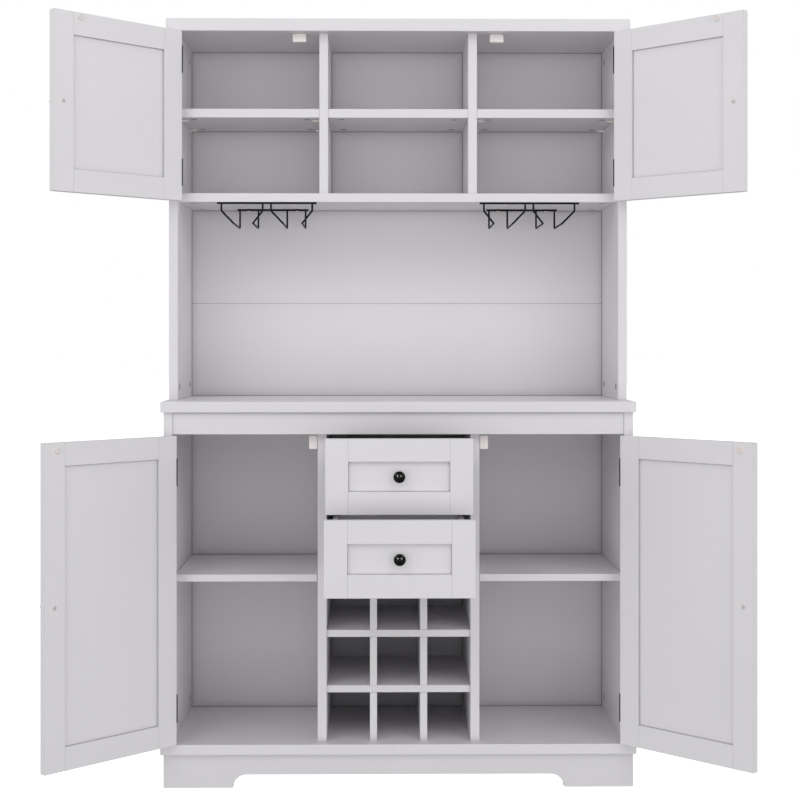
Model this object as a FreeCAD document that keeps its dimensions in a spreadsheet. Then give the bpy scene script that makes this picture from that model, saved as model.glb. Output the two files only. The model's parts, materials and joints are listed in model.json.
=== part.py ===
import FreeCAD, Part
import math
import os
import Sketcher

# A buffet cabinet with a hutch, in millimetres, +Z up, front towards -Y.
# The origin is on the floor, under the middle of the rear plinth board.
# It is modelled as it stands with its doors swung open and its drawers pulled out.

doc = FreeCAD.newDocument("BuffetCabinet")
sheet = doc.addObject("Spreadsheet::Sheet", "Sizes")

DRIVING_SIZES = {
    # Carcass
    "counter_width": 1000,
    "side_overhang": 6,
    "front_overhang": 8,
    "edge_round": 1.5,
    "board": 19,
    "thin_board": 15,
    "base_depth": 340,
    "hutch_setback": 86,
    "plinth_height": 70.5,
    "arch_height": 28,
    "foot_width": 146,
    "bottom_thick": 22,
    "counter_thick": 23,
    "base_height": 811.5,
    "open_height": 428.5,
    "cell_height": 164,
    "top_thick": 27,
    "rail_height": 46,
    "bay_width": 304,
    "shelf_setback": 25,
    "shelf_gap": 1,
    "rack_setback": 23,
    "lap_clearance": 0.2,
    "back_thick": 3.5,
    "back_inset": 3.5,
    "back_lap": 6,
    "seam_gap": 0.3,
    "seam_strip_half": 15,
    "seam_strip_thick": 2,
    "joint_line": 0.3,
    # Doors
    "door_thick": 16,
    "door_gap": 1.5,
    "lower_door_top_gap": 2.3,
    "door_rear_gap": 2,
    "upper_door_lap": 0.3,
    "frame_width": 46.8,
    "panel_thick": 6,
    "panel_tongue": 3,
    "panel_line": 0.8,
    "door_recess": 5,
    "drawer_recess": 8,
    "groove_depth": 8,
    "groove_clearance": 0.1,
    "glue_line": 0.05,
    "tongue_slack": 1,
    "door_open_angle": 134.7,
    # Hinges
    "hinge_length": 60,
    "hinge_inset_lower": 76,
    "hinge_inset_upper": 61.2,
    "pin_proud": 1,
    "pin_radius": 1.2,
    "pin_clearance": 0.05,
    "knuckle_radius": 2.5,
    "knuckle_clearance": 0.4,
    "leaf_thick": 1.5,
    "leaf_gap": 0.5,
    # Knobs and catches
    "knob_radius": 12,
    "knob_depth": 23,
    "knob_inset": 22,
    "knob_screw_radius": 2,
    "screw_head_thick": 1.5,
    "catch_length": 29,
    "catch_drop": 16.5,
    "catch_depth": 14,
    "catch_round": 2,
    "catch_setback": 1.5,
    "catch_inset_upper": 62.2,
    "catch_inset_lower": 30,
    "catch_below_rail": 20,
    "strike_radius": 6.5,
    "strike_thick": 2.5,
    "strike_drop_upper": 8,
    "strike_drop_lower": 16,
    # Drawers
    "upper_pull": 125,
    "lower_pull": 204,
    "drawer_front_height": 154,
    "deck_cover": 13.5,
    "drawer_gap": 2,
    "box_thick": 12,
    "box_depth": 290,
    "box_lift": 22,
    "box_headroom": 22,
    "box_bottom_thick": 4,
    "box_bottom_lift": 10,
    "box_bottom_lap": 6,
    "runner_space": 13,
    "runner_height": 36,
    "runner_sheet": 1.2,
    "runner_clearance": 0.6,
    # Glass racks
    "rack_from_side": 190,
    "wire_radius": 2.1,
    "wire_bend": 5,
    "bar_front_half": 108,
    "bar_back_half": 81,
    "wire_top_outer": 98.5,
    "wire_top_inner": 9,
    "wire_rail_outer": 75,
    "wire_rail_inner": 33,
    "wire_front_inset": 4,
    "wire_slope_run": 32,
    "wire_rail_run": 154,
    "wire_drop": 16.5,
    "wire_rail_drop": 41.5,
    "rack_screw_radius": 1.7,
    "rack_screw_grip": 11,
    "rack_screw_half": 55,
    # Fasteners
    "cam_radius": 7.5,
    "cam_depth": 12.5,
    "cam_clearance": 0.1,
    "cam_from_end": 28,
    "cam_from_edge": 34,
    "pin_hole_depth": 8,
    "shelf_pin_radius": 2.5,
    "shelf_pin_reach": 13,
    "shelf_pin_inset": 45,
}

for row, (alias, number) in enumerate(DRIVING_SIZES.items(), start=1):
    sheet.set(f"A{row}", alias.replace("_", " "))
    sheet.set(f"B{row}", str(number))
    sheet.setAlias(f"B{row}", alias)
doc.recompute()


class Size:
    """A length written as an expression of the sheet's cells."""

    def __init__(self, text):
        self.text = str(text)

    def __str__(self):
        return self.text

    def __add__(self, other):
        return Size(f"({self} + {other})")

    def __radd__(self, other):
        return Size(f"({other} + {self})")

    def __sub__(self, other):
        return Size(f"({self} - {other})")

    def __rsub__(self, other):
        return Size(f"({other} - {self})")

    def __mul__(self, other):
        return Size(f"({self} * {other})")

    __rmul__ = __mul__

    def __truediv__(self, other):
        return Size(f"({self} / {other})")

    def __neg__(self):
        return Size(f"(0 - {self})")

    def number(self):
        """The length in millimetres as the sheet now stands."""
        value = sheet.evalExpression(self.text)
        return float(getattr(value, "Value", value))


class Cells:
    """The sheet's driving sizes, each read by its alias."""

    def __getattr__(self, alias):
        if alias not in DRIVING_SIZES:
            raise AttributeError(alias)
        return Size(f"Sizes.{alias}")


S = Cells()
LEFT, RIGHT = -1, 1
HANDS = {"left": LEFT, "right": RIGHT}

# Places worked out from the driving sizes.
rear = S.board / 2
front = rear - S.base_depth
hutch_front = front + S.hutch_setback
set_back = S.door_thick + S.door_rear_gap
back_face = rear - S.back_inset - S.back_thick
hutch_edge = hutch_front + set_back
hutch_y = (hutch_edge, back_face)
half_counter = S.counter_width / 2
side_out = half_counter - S.side_overhang
side_in = side_out - S.board
divider_in = S.bay_width / 2
divider_out = divider_in + S.board
bottom_top = S.plinth_height + S.bottom_thick
counter_low = S.base_height - S.counter_thick
rail_low = counter_low - S.rail_height
fronts_low = rail_low - S.door_gap - 2 * S.drawer_front_height - S.drawer_gap
deck_top = fronts_low + S.deck_cover
deck_low = deck_top - S.thin_board
hutch_low = S.base_height + S.open_height
cells_low = hutch_low + S.board
shelf_low = cells_low + S.cell_height
shelf_top = shelf_low + S.board
hutch_top_low = shelf_top + S.cell_height
total_height = hutch_top_low + S.top_thick
back_seam = S.base_height + S.open_height / 2

# Doors, measured from each hinge pin along the closed door. The fixed leaf is let into the side,
# the moving leaf lies on the door's edge, and the free edge stops over the divider's inner face.
pin_x = side_in
leaf_start = S.leaf_gap / 2
door_near = leaf_start + S.leaf_thick
door_far = pin_x - divider_in
door_face = S.pin_proud
door_inside = door_face + S.door_thick


def box(name, x, y, z):
    """A block between two limits along each axis."""
    solid = doc.addObject("Part::Box", name)
    for length, axis, (low, high) in zip(("Length", "Width", "Height"), "xyz", (x, y, z)):
        solid.setExpression(length, str(Size(high) - low))
        solid.setExpression(f"Placement.Base.{axis}", str(low))
    return solid


def rod(name, axis, at, radius, length):
    """A cylinder that starts at a point and runs along +X, +Y or +Z."""
    turns = {
        "x": FreeCAD.Rotation(FreeCAD.Vector(0, 1, 0), 90),
        "y": FreeCAD.Rotation(FreeCAD.Vector(1, 0, 0), -90),
        "z": FreeCAD.Rotation(),
    }
    solid = doc.addObject("Part::Cylinder", name)
    solid.Placement = FreeCAD.Placement(FreeCAD.Vector(), turns[axis])
    solid.setExpression("Radius", str(radius))
    solid.setExpression("Height", str(length))
    for letter, place in zip("xyz", at):
        solid.setExpression(f"Placement.Base.{letter}", str(place))
    return solid


def rounded_block(name, x, y, z, radius, seat):
    """A block with its edges rounded, apart from those round the face that seats it.

    seat is one side of the block, named as in its bounding box, such as YMax for its rear.
    """
    body = doc.addObject("PartDesign::Body", name)
    block = body.newObject("PartDesign::AdditiveBox", f"{name}_block")
    for length, axis, (low, high) in zip(("Length", "Width", "Height"), "xyz", (x, y, z)):
        block.setExpression(length, str(Size(high) - low))
        body.setExpression(f"Placement.Base.{axis}", str(low))
    doc.recompute()
    seat_place = getattr(block.Shape.BoundBox, seat)
    free_edges = [
        f"Edge{index}" for index, edge in enumerate(block.Shape.Edges, start=1)
        if abs(getattr(edge.CenterOfMass, seat[0].lower()) - seat_place) > radius.number()]
    rounded = body.newObject("PartDesign::Fillet", f"{name}_edges")
    rounded.Base = (block, free_edges)
    rounded.setExpression("Radius", str(radius))
    return body


def handed(hand, low, high):
    """Limits along X, given as distances from the middle, on one side of it."""
    return (Size(low), Size(high)) if hand == RIGHT else (-Size(high), -Size(low))


def fuse(name, solids):
    joined = doc.addObject("Part::MultiFuse", name)
    joined.Shapes = solids
    return joined


def cut(name, base, tools):
    """A piece with every tool taken out of it."""
    trimmed = doc.addObject("Part::Cut", name)
    trimmed.Base = base
    trimmed.Tool = tools[0] if len(tools) == 1 else fuse(f"{name}_cuts", tools)
    return trimmed


def group(name, solids):
    """Separate solids that share one node."""
    together = doc.addObject("Part::Compound", name)
    together.Links = solids
    return together


nodes = []


def node(label, shape_object):
    """Gives a finished piece the label that names its file."""
    shape_object.Label = label
    nodes.append(shape_object)
    return shape_object


def cam_bore(name, axis, at, fit):
    """A cam lock, or the bore for one, sunk along +X, -X or +Z from a face."""
    radius = S.cam_radius + fit
    depth = S.cam_depth + fit
    x, y, z = at
    if axis == "-x":
        return rod(name, "x", (x - depth, y, z), radius, depth)
    return rod(name, axis, at, radius, depth)


def cam_edges(low, high):
    """The two places of a board's cam locks, near its front and its rear."""
    return (low + S.cam_from_edge, high - S.cam_from_edge)


cam_places = []


def bores_for_cams(name, places):
    """Bores for cam locks; the locks themselves are made later in the same places."""
    cam_places.extend(places)
    return [
        cam_bore(f"{name}_bore{index}", axis, at, S.cam_clearance)
        for index, (axis, at) in enumerate(places)
    ]


def hinge_heights(low, high, inset):
    return (low + inset, high - inset)


lower_door_z = (bottom_top + S.door_gap, rail_low - S.lower_door_top_gap)
upper_door_z = (hutch_low - S.upper_door_lap, hutch_top_low - S.door_gap)
lower_hinges = hinge_heights(*lower_door_z, S.hinge_inset_lower)
upper_hinges = hinge_heights(*upper_door_z, S.hinge_inset_upper)
knuckle_room = S.knuckle_radius + S.knuckle_clearance
hinge_room_half = S.hinge_length / 2 + S.knuckle_clearance + S.leaf_thick


def knuckle_cuts(name, x, y, heights):
    """Hollows for the knuckles of each hinge in the corner of an edge."""
    return [
        rod(f"{name}_knuckle{index}", "z", (x, y, height - hinge_room_half), knuckle_room,
            2 * hinge_room_half)
        for index, height in enumerate(heights)]


def leaf_mortises(name, hand, y, heights):
    """Cuts that let the fixed leaf of each hinge into a side panel."""
    across = handed(hand, side_in, side_in + door_near)
    along = (y, y + door_inside + S.lap_clearance)
    return [
        box(f"{name}_leaf{index}", across, along, (height - hinge_room_half, height + hinge_room_half))
        for index, height in enumerate(heights)]


def side_board(label, hand, y_front, z, heights, pin_holes):
    """A side panel with its back groove, cam bores and hinge mortises."""
    blank = box(f"{label}_blank", handed(hand, side_in, side_out), (y_front, rear), z)
    groove_x = handed(hand, side_in, side_in + S.back_lap + S.lap_clearance)
    groove_y = (back_face, back_face + S.back_thick + S.lap_clearance)
    tools = [box(f"{label}_groove", groove_x, groove_y, z)]
    pin_y = y_front - S.pin_proud
    tools += knuckle_cuts(label, hand * pin_x, pin_y, heights) + leaf_mortises(label, hand, pin_y, heights)
    ends = (z[0] + S.cam_from_end, z[1] - S.cam_from_end)
    cam_axis = "x" if hand == RIGHT else "-x"
    cam_y = (y_front + S.cam_from_edge, back_face - S.cam_from_edge)
    places = [(cam_axis, (hand * side_in, y, end)) for end in ends for y in cam_y]
    tools += bores_for_cams(label, places)
    tools += pin_holes
    return node(label, cut(label, blank, tools))


# Shelf pins: the shelf of each side bay rests on four of them, two in each wall.
PIN_ROWS = {
    "base": (
        (front + S.shelf_setback + S.shelf_pin_inset, back_face - S.shelf_pin_inset),
        deck_low - S.shelf_pin_radius),
    "hutch": (cam_edges(*hutch_y), shelf_low - S.shelf_pin_radius),
}
pin_length = S.pin_hole_depth + S.shelf_pin_reach


def shelf_pins(name, part, hand, wall, outward, fit):
    """The two shelf pins in one wall of a side bay, or the holes for them."""
    inner = wall - S.shelf_pin_reach if outward else wall - S.pin_hole_depth - fit
    low, high = handed(hand, inner, inner + pin_length + fit)
    y_places, z = PIN_ROWS[part]
    return [
        rod(f"{name}{index}", "x", (low, y, z), S.shelf_pin_radius + fit, high - low)
        for index, y in enumerate(y_places)
    ]


def pin_holes_for(name, part, hand, wall, outward):
    return shelf_pins(f"{name}_pin_hole", part, hand, wall, outward, S.cam_clearance)


# Base carcass.
for word, hand in HANDS.items():
    side_board(
        f"base_side_{word}", hand, front, (bottom_top, counter_low), lower_hinges,
        pin_holes_for(f"base_side_{word}", "base", hand, side_in, True))
for label, board_z in (
    ("base_bottom_panel", (S.plinth_height, bottom_top)),
    ("countertop", (counter_low, S.base_height)),
):
    node(label, rounded_block(
        label, (-half_counter, half_counter), (front - S.front_overhang, rear), board_z,
        S.edge_round, "YMax"))
node("base_top_rail", box(
    "base_top_rail", (-side_in, side_in), (front, front + set_back), (rail_low, counter_low)))

base_dividers = []
for word, hand in HANDS.items():
    name = f"base_divider_{word}"
    blank = box(
        f"{name}_blank", handed(hand, divider_in, divider_out), (front + set_back, back_face),
        (bottom_top, counter_low))
    base_dividers.append(cut(name, blank, pin_holes_for(name, "base", hand, divider_out, False)))
node("base_dividers", group("base_dividers", base_dividers))

base_shelves = []
for word, hand in HANDS.items():
    across = handed(hand, divider_out + S.shelf_gap, side_in - S.shelf_gap)
    base_shelves.append(box(
        f"base_shelf_{word}", across, (front + S.shelf_setback, back_face - S.shelf_gap),
        (deck_low, deck_top)))
node("base_shelves", group("base_shelves", base_shelves))

node("drawer_deck", box(
    "drawer_deck", (-divider_in, divider_in), (front + set_back, back_face),
    (deck_low, deck_top)))

# Wine rack: boards that lap each other halfway, three cells by three.
rack_front = front + S.rack_setback
rack_middle = (rack_front + back_face) / 2
cell_wide = (S.bay_width - 2 * S.thin_board) / 3
cell_high = (deck_low - bottom_top - 2 * S.thin_board) / 3
upright_lows = [
    -divider_in + count * cell_wide + (count - 1) * S.thin_board for count in (1, 2)]
shelf_lows = [
    bottom_top + count * cell_high + (count - 1) * S.thin_board for count in (1, 2)]
rack_shelves = []
for shelf_index, low in enumerate(shelf_lows):
    blank = box(
        f"rack_shelf{shelf_index}_blank", (-divider_in, divider_in), (rack_front, back_face),
        (low, low + S.thin_board))
    slots = [
        box(f"rack_shelf{shelf_index}_slot{index}",
            (left - S.lap_clearance, left + S.thin_board + S.lap_clearance),
            (rack_middle - S.lap_clearance, back_face), (low, low + S.thin_board))
        for index, left in enumerate(upright_lows)]
    rack_shelves.append(cut(f"rack_shelf{shelf_index}", blank, slots))
node("rack_shelves", group("rack_shelves", rack_shelves))
rack_uprights = []
for upright_index, left in enumerate(upright_lows):
    blank = box(
        f"rack_upright{upright_index}_blank", (left, left + S.thin_board),
        (rack_front, back_face), (bottom_top, deck_low))
    slots = [
        box(f"rack_upright{upright_index}_slot{index}", (left, left + S.thin_board),
            (rack_front, rack_middle),
            (low - S.lap_clearance, low + S.thin_board + S.lap_clearance))
        for index, low in enumerate(shelf_lows)]
    rack_uprights.append(cut(f"rack_upright{upright_index}", blank, slots))
node("rack_uprights", group("rack_uprights", rack_uprights))

# Plinth: the front board has an arch with quarter-round shoulders.
arch_centre = side_out - S.foot_width - S.arch_height
plinth_y = (front, front + S.board)
arch_parts = [box("arch_flat", (-arch_centre, arch_centre), plinth_y, (0, S.arch_height))]
for word, hand in HANDS.items():
    arch_parts.append(rod(
        f"arch_shoulder_{word}", "y", (hand * arch_centre, front, 0), S.arch_height, S.board))
plinth_blank = box("plinth_front_blank", (-side_out, side_out), plinth_y, (0, S.plinth_height))
node("plinth_front", cut("plinth_front", plinth_blank, arch_parts))
node("plinth_ends", group("plinth_ends", [
    box(f"plinth_end_{word}", handed(hand, side_in, side_out), (front + S.board, rear),
        (0, S.plinth_height))
    for word, hand in HANDS.items()]))
node("plinth_back", box(
    "plinth_back", (-side_in, side_in), (rear - S.board, rear), (0, S.plinth_height)))

# Thin back panels, held in the grooves of the sides; a strip behind the seam joins the upper two.
back_half = side_in + S.back_lap
back_y = (back_face, back_face + S.back_thick)
node("base_back_panel", box(
    "base_back_panel", (-back_half, back_half), back_y, (bottom_top, counter_low)))
node("hutch_back_panels", group("hutch_back_panels", [
    box("hutch_back_lower", (-back_half, back_half), back_y,
        (S.base_height, back_seam - S.seam_gap / 2)),
    box("hutch_back_upper", (-back_half, back_half), back_y,
        (back_seam + S.seam_gap / 2, hutch_top_low)),
    box("hutch_seam_strip", (-side_in, side_in), (back_y[1], back_y[1] + S.seam_strip_thick),
        (back_seam - S.seam_strip_half, back_seam + S.seam_strip_half)),
]))

# Hutch carcass.
for word, hand in HANDS.items():
    side_board(
        f"hutch_side_{word}", hand, hutch_front, (S.base_height, hutch_top_low), upper_hinges,
        pin_holes_for(f"hutch_side_{word}", "hutch", hand, side_in, True))
node("hutch_top_board", rounded_block(
    "hutch_top_board", (-half_counter, half_counter), (hutch_front - S.front_overhang, rear),
    (hutch_top_low, total_height), S.edge_round, "YMax"))


# Places of the glass racks' bars and of the screws beside them.
bar_radius = S.wire_radius + S.cam_clearance
bar_z = hutch_low - bar_radius
bar_front_y = hutch_edge + S.wire_front_inset
bar_back_y = bar_front_y + S.wire_slope_run + S.wire_rail_run
rack_centre = side_in - S.rack_from_side


def rack_screw_places(hand):
    """Where one glass rack's screws stand, just inside its bars."""
    beside = bar_radius + S.rack_screw_radius + S.cam_clearance
    return [
        (hand * rack_centre + sign * S.rack_screw_half, y)
        for y in (bar_front_y + beside, bar_back_y - beside)
        for sign in (LEFT, RIGHT)]


def hutch_board(name, x, low, more_cuts=()):
    """A level board of the hutch, with cam bores in its underside."""
    blank = box(f"{name}_blank", x, hutch_y, (low, low + S.board))
    places = [
        ("z", (end, y, low))
        for end in (x[0] + S.cam_from_end, x[1] - S.cam_from_end)
        for y in cam_edges(*hutch_y)]
    return cut(name, blank, bores_for_cams(name, places) + list(more_cuts))


pilot_holes = [
    rod(f"pilot_{word}{index}", "z", (x, y, hutch_low), S.rack_screw_radius + S.pin_clearance,
        S.rack_screw_grip + S.lap_clearance)
    for word, hand in HANDS.items()
    for index, (x, y) in enumerate(rack_screw_places(hand))]
node("hutch_bottom_board", hutch_board(
    "hutch_bottom_board", (-side_in, side_in), hutch_low, pilot_holes))
hutch_dividers = []
for word, hand in HANDS.items():
    name = f"hutch_divider_{word}"
    blank = box(
        f"{name}_blank", handed(hand, divider_in, divider_out), hutch_y, (cells_low, hutch_top_low))
    hutch_dividers.append(cut(name, blank, pin_holes_for(name, "hutch", hand, divider_out, False)))
node("hutch_dividers", group("hutch_dividers", hutch_dividers))
outer_shelf = (divider_out + S.joint_line, side_in - S.joint_line)
middle_shelf_half = divider_in - S.joint_line
node("hutch_shelves", group("hutch_shelves", [
    hutch_board("hutch_shelf_left", handed(LEFT, *outer_shelf), shelf_low),
    hutch_board("hutch_shelf_middle", (-middle_shelf_half, middle_shelf_half), shelf_low),
    hutch_board("hutch_shelf_right", handed(RIGHT, *outer_shelf), shelf_low),
]))

# Fasteners.
node("cam_locks", group("cam_locks", [
    cam_bore(f"cam_lock{index}", axis, at, Size(0))
    for index, (axis, at) in enumerate(cam_places)]))
node("shelf_pins", group("shelf_pins", [
    pin
    for part in PIN_ROWS
    for word, hand in HANDS.items()
    for wall_word, wall, outward in (("side", side_in, True), ("divider", divider_out, False))
    for pin in shelf_pins(f"{part}_pin_{word}_{wall_word}", part, hand, wall, outward, Size(0))]))


# Hinges: leaves with interleaved knuckles on a headed pin, in the pin's own frame.
third = S.hinge_length / 3


def hinge_leaf(name, side, height, knuckles):
    """One leaf with its knuckles; side is the way that the leaf lies from the pin."""
    across = handed(side, leaf_start, door_near)
    half = S.hinge_length / 2
    parts = [box(f"{name}_plate", across, (knuckle_room, door_inside), (height - half, height + half))]
    for index, (low, high) in enumerate(knuckles):
        span = (height + low, height + high)
        parts.append(box(f"{name}_tongue{index}", across, (0, knuckle_room), span))
        parts.append(rod(
            f"{name}_knuckle{index}", "z", (0, 0, span[0]), S.knuckle_radius, span[1] - span[0]))
    bore = rod(
        f"{name}_bore", "z", (0, 0, height - half), S.pin_radius + S.pin_clearance, S.hinge_length)
    return cut(name, fuse(f"{name}_blank", parts), [bore])


def hinge_pin(name, height):
    half = S.hinge_length / 2
    return fuse(name, [
        rod(f"{name}_shank", "z", (0, 0, height - half), S.pin_radius, S.hinge_length),
        rod(f"{name}_foot", "z", (0, 0, height - half - S.leaf_thick), S.knuckle_radius, S.leaf_thick),
        rod(f"{name}_head", "z", (0, 0, height + half), S.knuckle_radius, S.leaf_thick),
    ])


def pose(piece, x, y, turn):
    """Stands a piece made about a hinge pin at its place, turned about the pin."""
    piece.setExpression("Placement.Base.x", str(x))
    piece.setExpression("Placement.Base.y", str(y))
    piece.setExpression("Placement.Rotation.Angle", str(turn))
    return piece


DOORS = {
    "lower_left": (LEFT, front, lower_door_z, lower_hinges),
    "lower_right": (RIGHT, front, lower_door_z, lower_hinges),
    "upper_left": (LEFT, hutch_front, upper_door_z, upper_hinges),
    "upper_right": (RIGHT, hutch_front, upper_door_z, upper_hinges),
}
end_knuckles = (
    (-S.hinge_length / 2, -third / 2 - S.lap_clearance),
    (third / 2 + S.lap_clearance, S.hinge_length / 2),
)
middle_knuckle = ((-third / 2, third / 2),)

fixed_leaves = []
for word, (hand, y_front, door_z, heights) in DOORS.items():
    for index, height in enumerate(heights):
        name = f"{word}_fixed_leaf{index}"
        leaf = hinge_leaf(name, hand, height, end_knuckles)
        pin = hinge_pin(f"{word}_pin{index}", height)
        for piece in (leaf, pin):
            fixed_leaves.append(pose(piece, hand * pin_x, y_front - S.pin_proud, 0))
node("hinge_fixed_leaves", group("hinge_fixed_leaves", fixed_leaves))


# Framed panels: grooved stiles, rails with stub tongues, and a loose panel with a tongue all round
# whose shoulders leave a shadow line inside the frame.
def framed_front(name, x, y, z, recess, stile_cuts, panel_cuts):
    """The frame of a door or drawer front as four solids, and its panel.

    recess is how far the panel's face lies behind the frame's outer face.
    stile_cuts holds the tools for the left stile and for the right one.
    """
    panel_y = (y[0] + recess, y[0] + recess + S.panel_thick)
    middle = (panel_y[0] + panel_y[1]) / 2
    tongue_y = (middle - S.panel_tongue / 2, middle + S.panel_tongue / 2)
    groove_y = (tongue_y[0] - S.groove_clearance, tongue_y[1] + S.groove_clearance)
    inner_x = (x[0] + S.frame_width, x[1] - S.frame_width)
    inner_z = (z[0] + S.frame_width, z[1] - S.frame_width)
    tongue = S.groove_depth - S.tongue_slack
    stile_left = cut(
        f"{name}_stile_left", box(f"{name}_stile_left_blank", (x[0], inner_x[0]), y, z),
        [box(f"{name}_stile_left_groove", (inner_x[0] - S.groove_depth, inner_x[0]), groove_y, z)]
        + stile_cuts[0])
    stile_right = cut(
        f"{name}_stile_right", box(f"{name}_stile_right_blank", (inner_x[1], x[1]), y, z),
        [box(f"{name}_stile_right_groove", (inner_x[1], inner_x[1] + S.groove_depth), groove_y, z)]
        + stile_cuts[1])
    rails = []
    rail_x = (inner_x[0] + S.glue_line, inner_x[1] - S.glue_line)
    tongue_x = (inner_x[0] - tongue, inner_x[1] + tongue)
    for word, rail_z, tongue_z, groove_z in (
        ("bottom", (z[0], inner_z[0]), (z[0], inner_z[0] - S.groove_depth),
         (inner_z[0] - S.groove_depth, inner_z[0])),
        ("top", (inner_z[1], z[1]), (inner_z[1] + S.groove_depth, z[1]),
         (inner_z[1], inner_z[1] + S.groove_depth)),
    ):
        blank = fuse(f"{name}_rail_{word}_blank", [
            box(f"{name}_rail_{word}_body", rail_x, y, rail_z),
            box(f"{name}_rail_{word}_tongue", tongue_x, tongue_y, tongue_z)])
        rails.append(cut(
            f"{name}_rail_{word}", blank,
            [box(f"{name}_rail_{word}_groove", inner_x, groove_y, groove_z)]))
    frame = group(f"{name}_frame", [stile_left, stile_right] + rails)
    field_x = (inner_x[0] + S.panel_line, inner_x[1] - S.panel_line)
    field_z = (inner_z[0] + S.panel_line, inner_z[1] - S.panel_line)
    panel = fuse(f"{name}_panel_sheet", [
        box(f"{name}_panel_tongue", tongue_x, tongue_y, (inner_z[0] - tongue, inner_z[1] + tongue)),
        box(f"{name}_panel_field", field_x, panel_y, field_z)])
    if panel_cuts:
        panel = cut(f"{name}_panel_drilled", panel, panel_cuts)
    return frame, group(f"{name}_panel", [panel])


def knob_body(name):
    """A turned knob about the Y axis, its foot on Y = 0 and its head towards -Y."""
    body = doc.addObject("PartDesign::Body", name)
    sketch = body.newObject("Sketcher::SketchObject", f"{name}_outline")
    plane = next(part for part in body.Origin.OriginFeatures if part.Role == "XY_Plane")
    sketch.AttachmentSupport = (plane, "")
    sketch.MapMode = "FlatFace"
    bore = S.knob_screw_radius + S.pin_clearance
    foot, waist, rim = 0.67 * S.knob_radius, 0.4 * S.knob_radius, S.knob_radius
    axis, tip = Size(0), S.knob_depth
    corners = [
        (bore, Size(0)), (foot, Size(0)), (foot, 0.13 * tip), (waist, 0.22 * tip),
        (waist, 0.48 * tip), (rim, 0.67 * tip), (axis, tip), (axis, 0.7 * tip), (bore, 0.7 * tip),
    ]
    points = [FreeCAD.Vector(x.number(), -y.number(), 0) for x, y in corners]
    dome_edge = [x for x, y in corners].index(rim)
    for index, start in enumerate(points):
        end = points[(index + 1) % len(points)]
        line = Part.LineSegment(start, end)
        if index == dome_edge:
            bulge = FreeCAD.Vector(start.x * 0.62, (start.y + 2.2 * end.y) / 3.2, 0)
            line = Part.Arc(start, bulge, end)
        sketch.addGeometry(line, False)
    # A three-point arc that turns clockwise keeps its start at its second end.
    starts = [2 if index == dome_edge else 1 for index in range(len(points))]
    for index in range(len(points)):
        following = (index + 1) % len(points)
        sketch.addConstraint(Sketcher.Constraint(
            "Coincident", index, 3 - starts[index], following, starts[following]))
    for index, (x, y) in enumerate(corners):
        for kind, place in (("DistanceX", x), ("DistanceY", y)):
            hold_corner(sketch, index, starts[index], kind, place)
    sketch.addConstraint(Sketcher.Constraint("PointOnObject", dome_edge, 3, -2))
    turned = body.newObject("PartDesign::Revolution", f"{name}_turned")
    turned.Profile = sketch
    turned.ReferenceAxis = (sketch, ["V_Axis"])
    turned.Angle = 360
    return body


def hold_corner(sketch, edge, end, kind, place):
    """Ties one corner of a sketch to the sheet, or to an axis where its place is zero."""
    if place.number() == 0:
        axis = -2 if kind == "DistanceX" else -1
        sketch.addConstraint(Sketcher.Constraint("PointOnObject", edge, end, axis))
        return
    ends = (-1, 1, edge, end) if kind == "DistanceX" else (edge, end, -1, 1)
    number = sketch.addConstraint(Sketcher.Constraint(kind, *ends, place.number()))
    sketch.setExpression(f"Constraints[{number}]", str(place))


knob_hole_radius = S.knob_screw_radius + 4 * S.pin_clearance
knob_screw_reach = 0.6 * S.knob_depth


def knob_with_screw(name, x, seat, inside, z):
    """A knob on an outer face, and the screw that holds it from the inside."""
    knob = knob_body(f"{name}_turning")
    for axis, place in zip("xyz", (x, seat, z)):
        knob.setExpression(f"Placement.Base.{axis}", str(place))
    start = seat - knob_screw_reach
    screw = fuse(f"{name}_screw", [
        rod(f"{name}_shank", "y", (x, start, z), S.knob_screw_radius, inside - start),
        rod(f"{name}_head", "y", (x, inside, z), 2.1 * S.knob_screw_radius, S.screw_head_thick)])
    return group(name, [knob, screw])


# Doors, each made closed about its hinge pins and then swung open.
for word, (hand, y_front, z, heights) in DOORS.items():
    name = f"{word}_door"
    inward = -hand
    x = handed(inward, door_near, door_far)
    middle_z = (z[0] + z[1]) / 2
    knob_x = inward * (door_far - S.knob_inset)
    hinge_cuts = knuckle_cuts(name, 0, 0, heights)
    knob_hole = [rod(
        f"{name}_knob_hole", "y", (knob_x, door_face, middle_z), knob_hole_radius, S.door_thick)]
    stile_cuts = (hinge_cuts, knob_hole) if hand == LEFT else (knob_hole, hinge_cuts)
    frame, panel = framed_front(
        name, x, (door_face, door_inside), z, S.door_recess, stile_cuts, [])
    knob = knob_with_screw(f"{name}_knob", knob_x, door_face, door_inside, middle_z)
    leaves = group(f"{name}_hinge_leaves", [
        hinge_leaf(f"{name}_leaf{index}", inward, height, middle_knuckle)
        for index, height in enumerate(heights)])
    if word.startswith("upper"):
        strike_x, strike_z = door_far - S.catch_inset_upper, z[1] - S.strike_drop_upper
    else:
        strike_x, strike_z = door_far - S.catch_inset_lower, z[1] - S.strike_drop_lower
    strike = group(f"{name}_strike", [rod(
        f"{name}_strike_disc", "y", (inward * strike_x, door_inside, strike_z), S.strike_radius,
        S.strike_thick)])
    pieces = {"frame": frame, "panel": panel, "knob": knob, "hinge_leaves": leaves, "strike": strike}
    for part_word, piece in pieces.items():
        pose(piece, hand * pin_x, y_front - S.pin_proud, hand * S.door_open_angle)
        node(f"{name}_{part_word}", piece)

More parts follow.
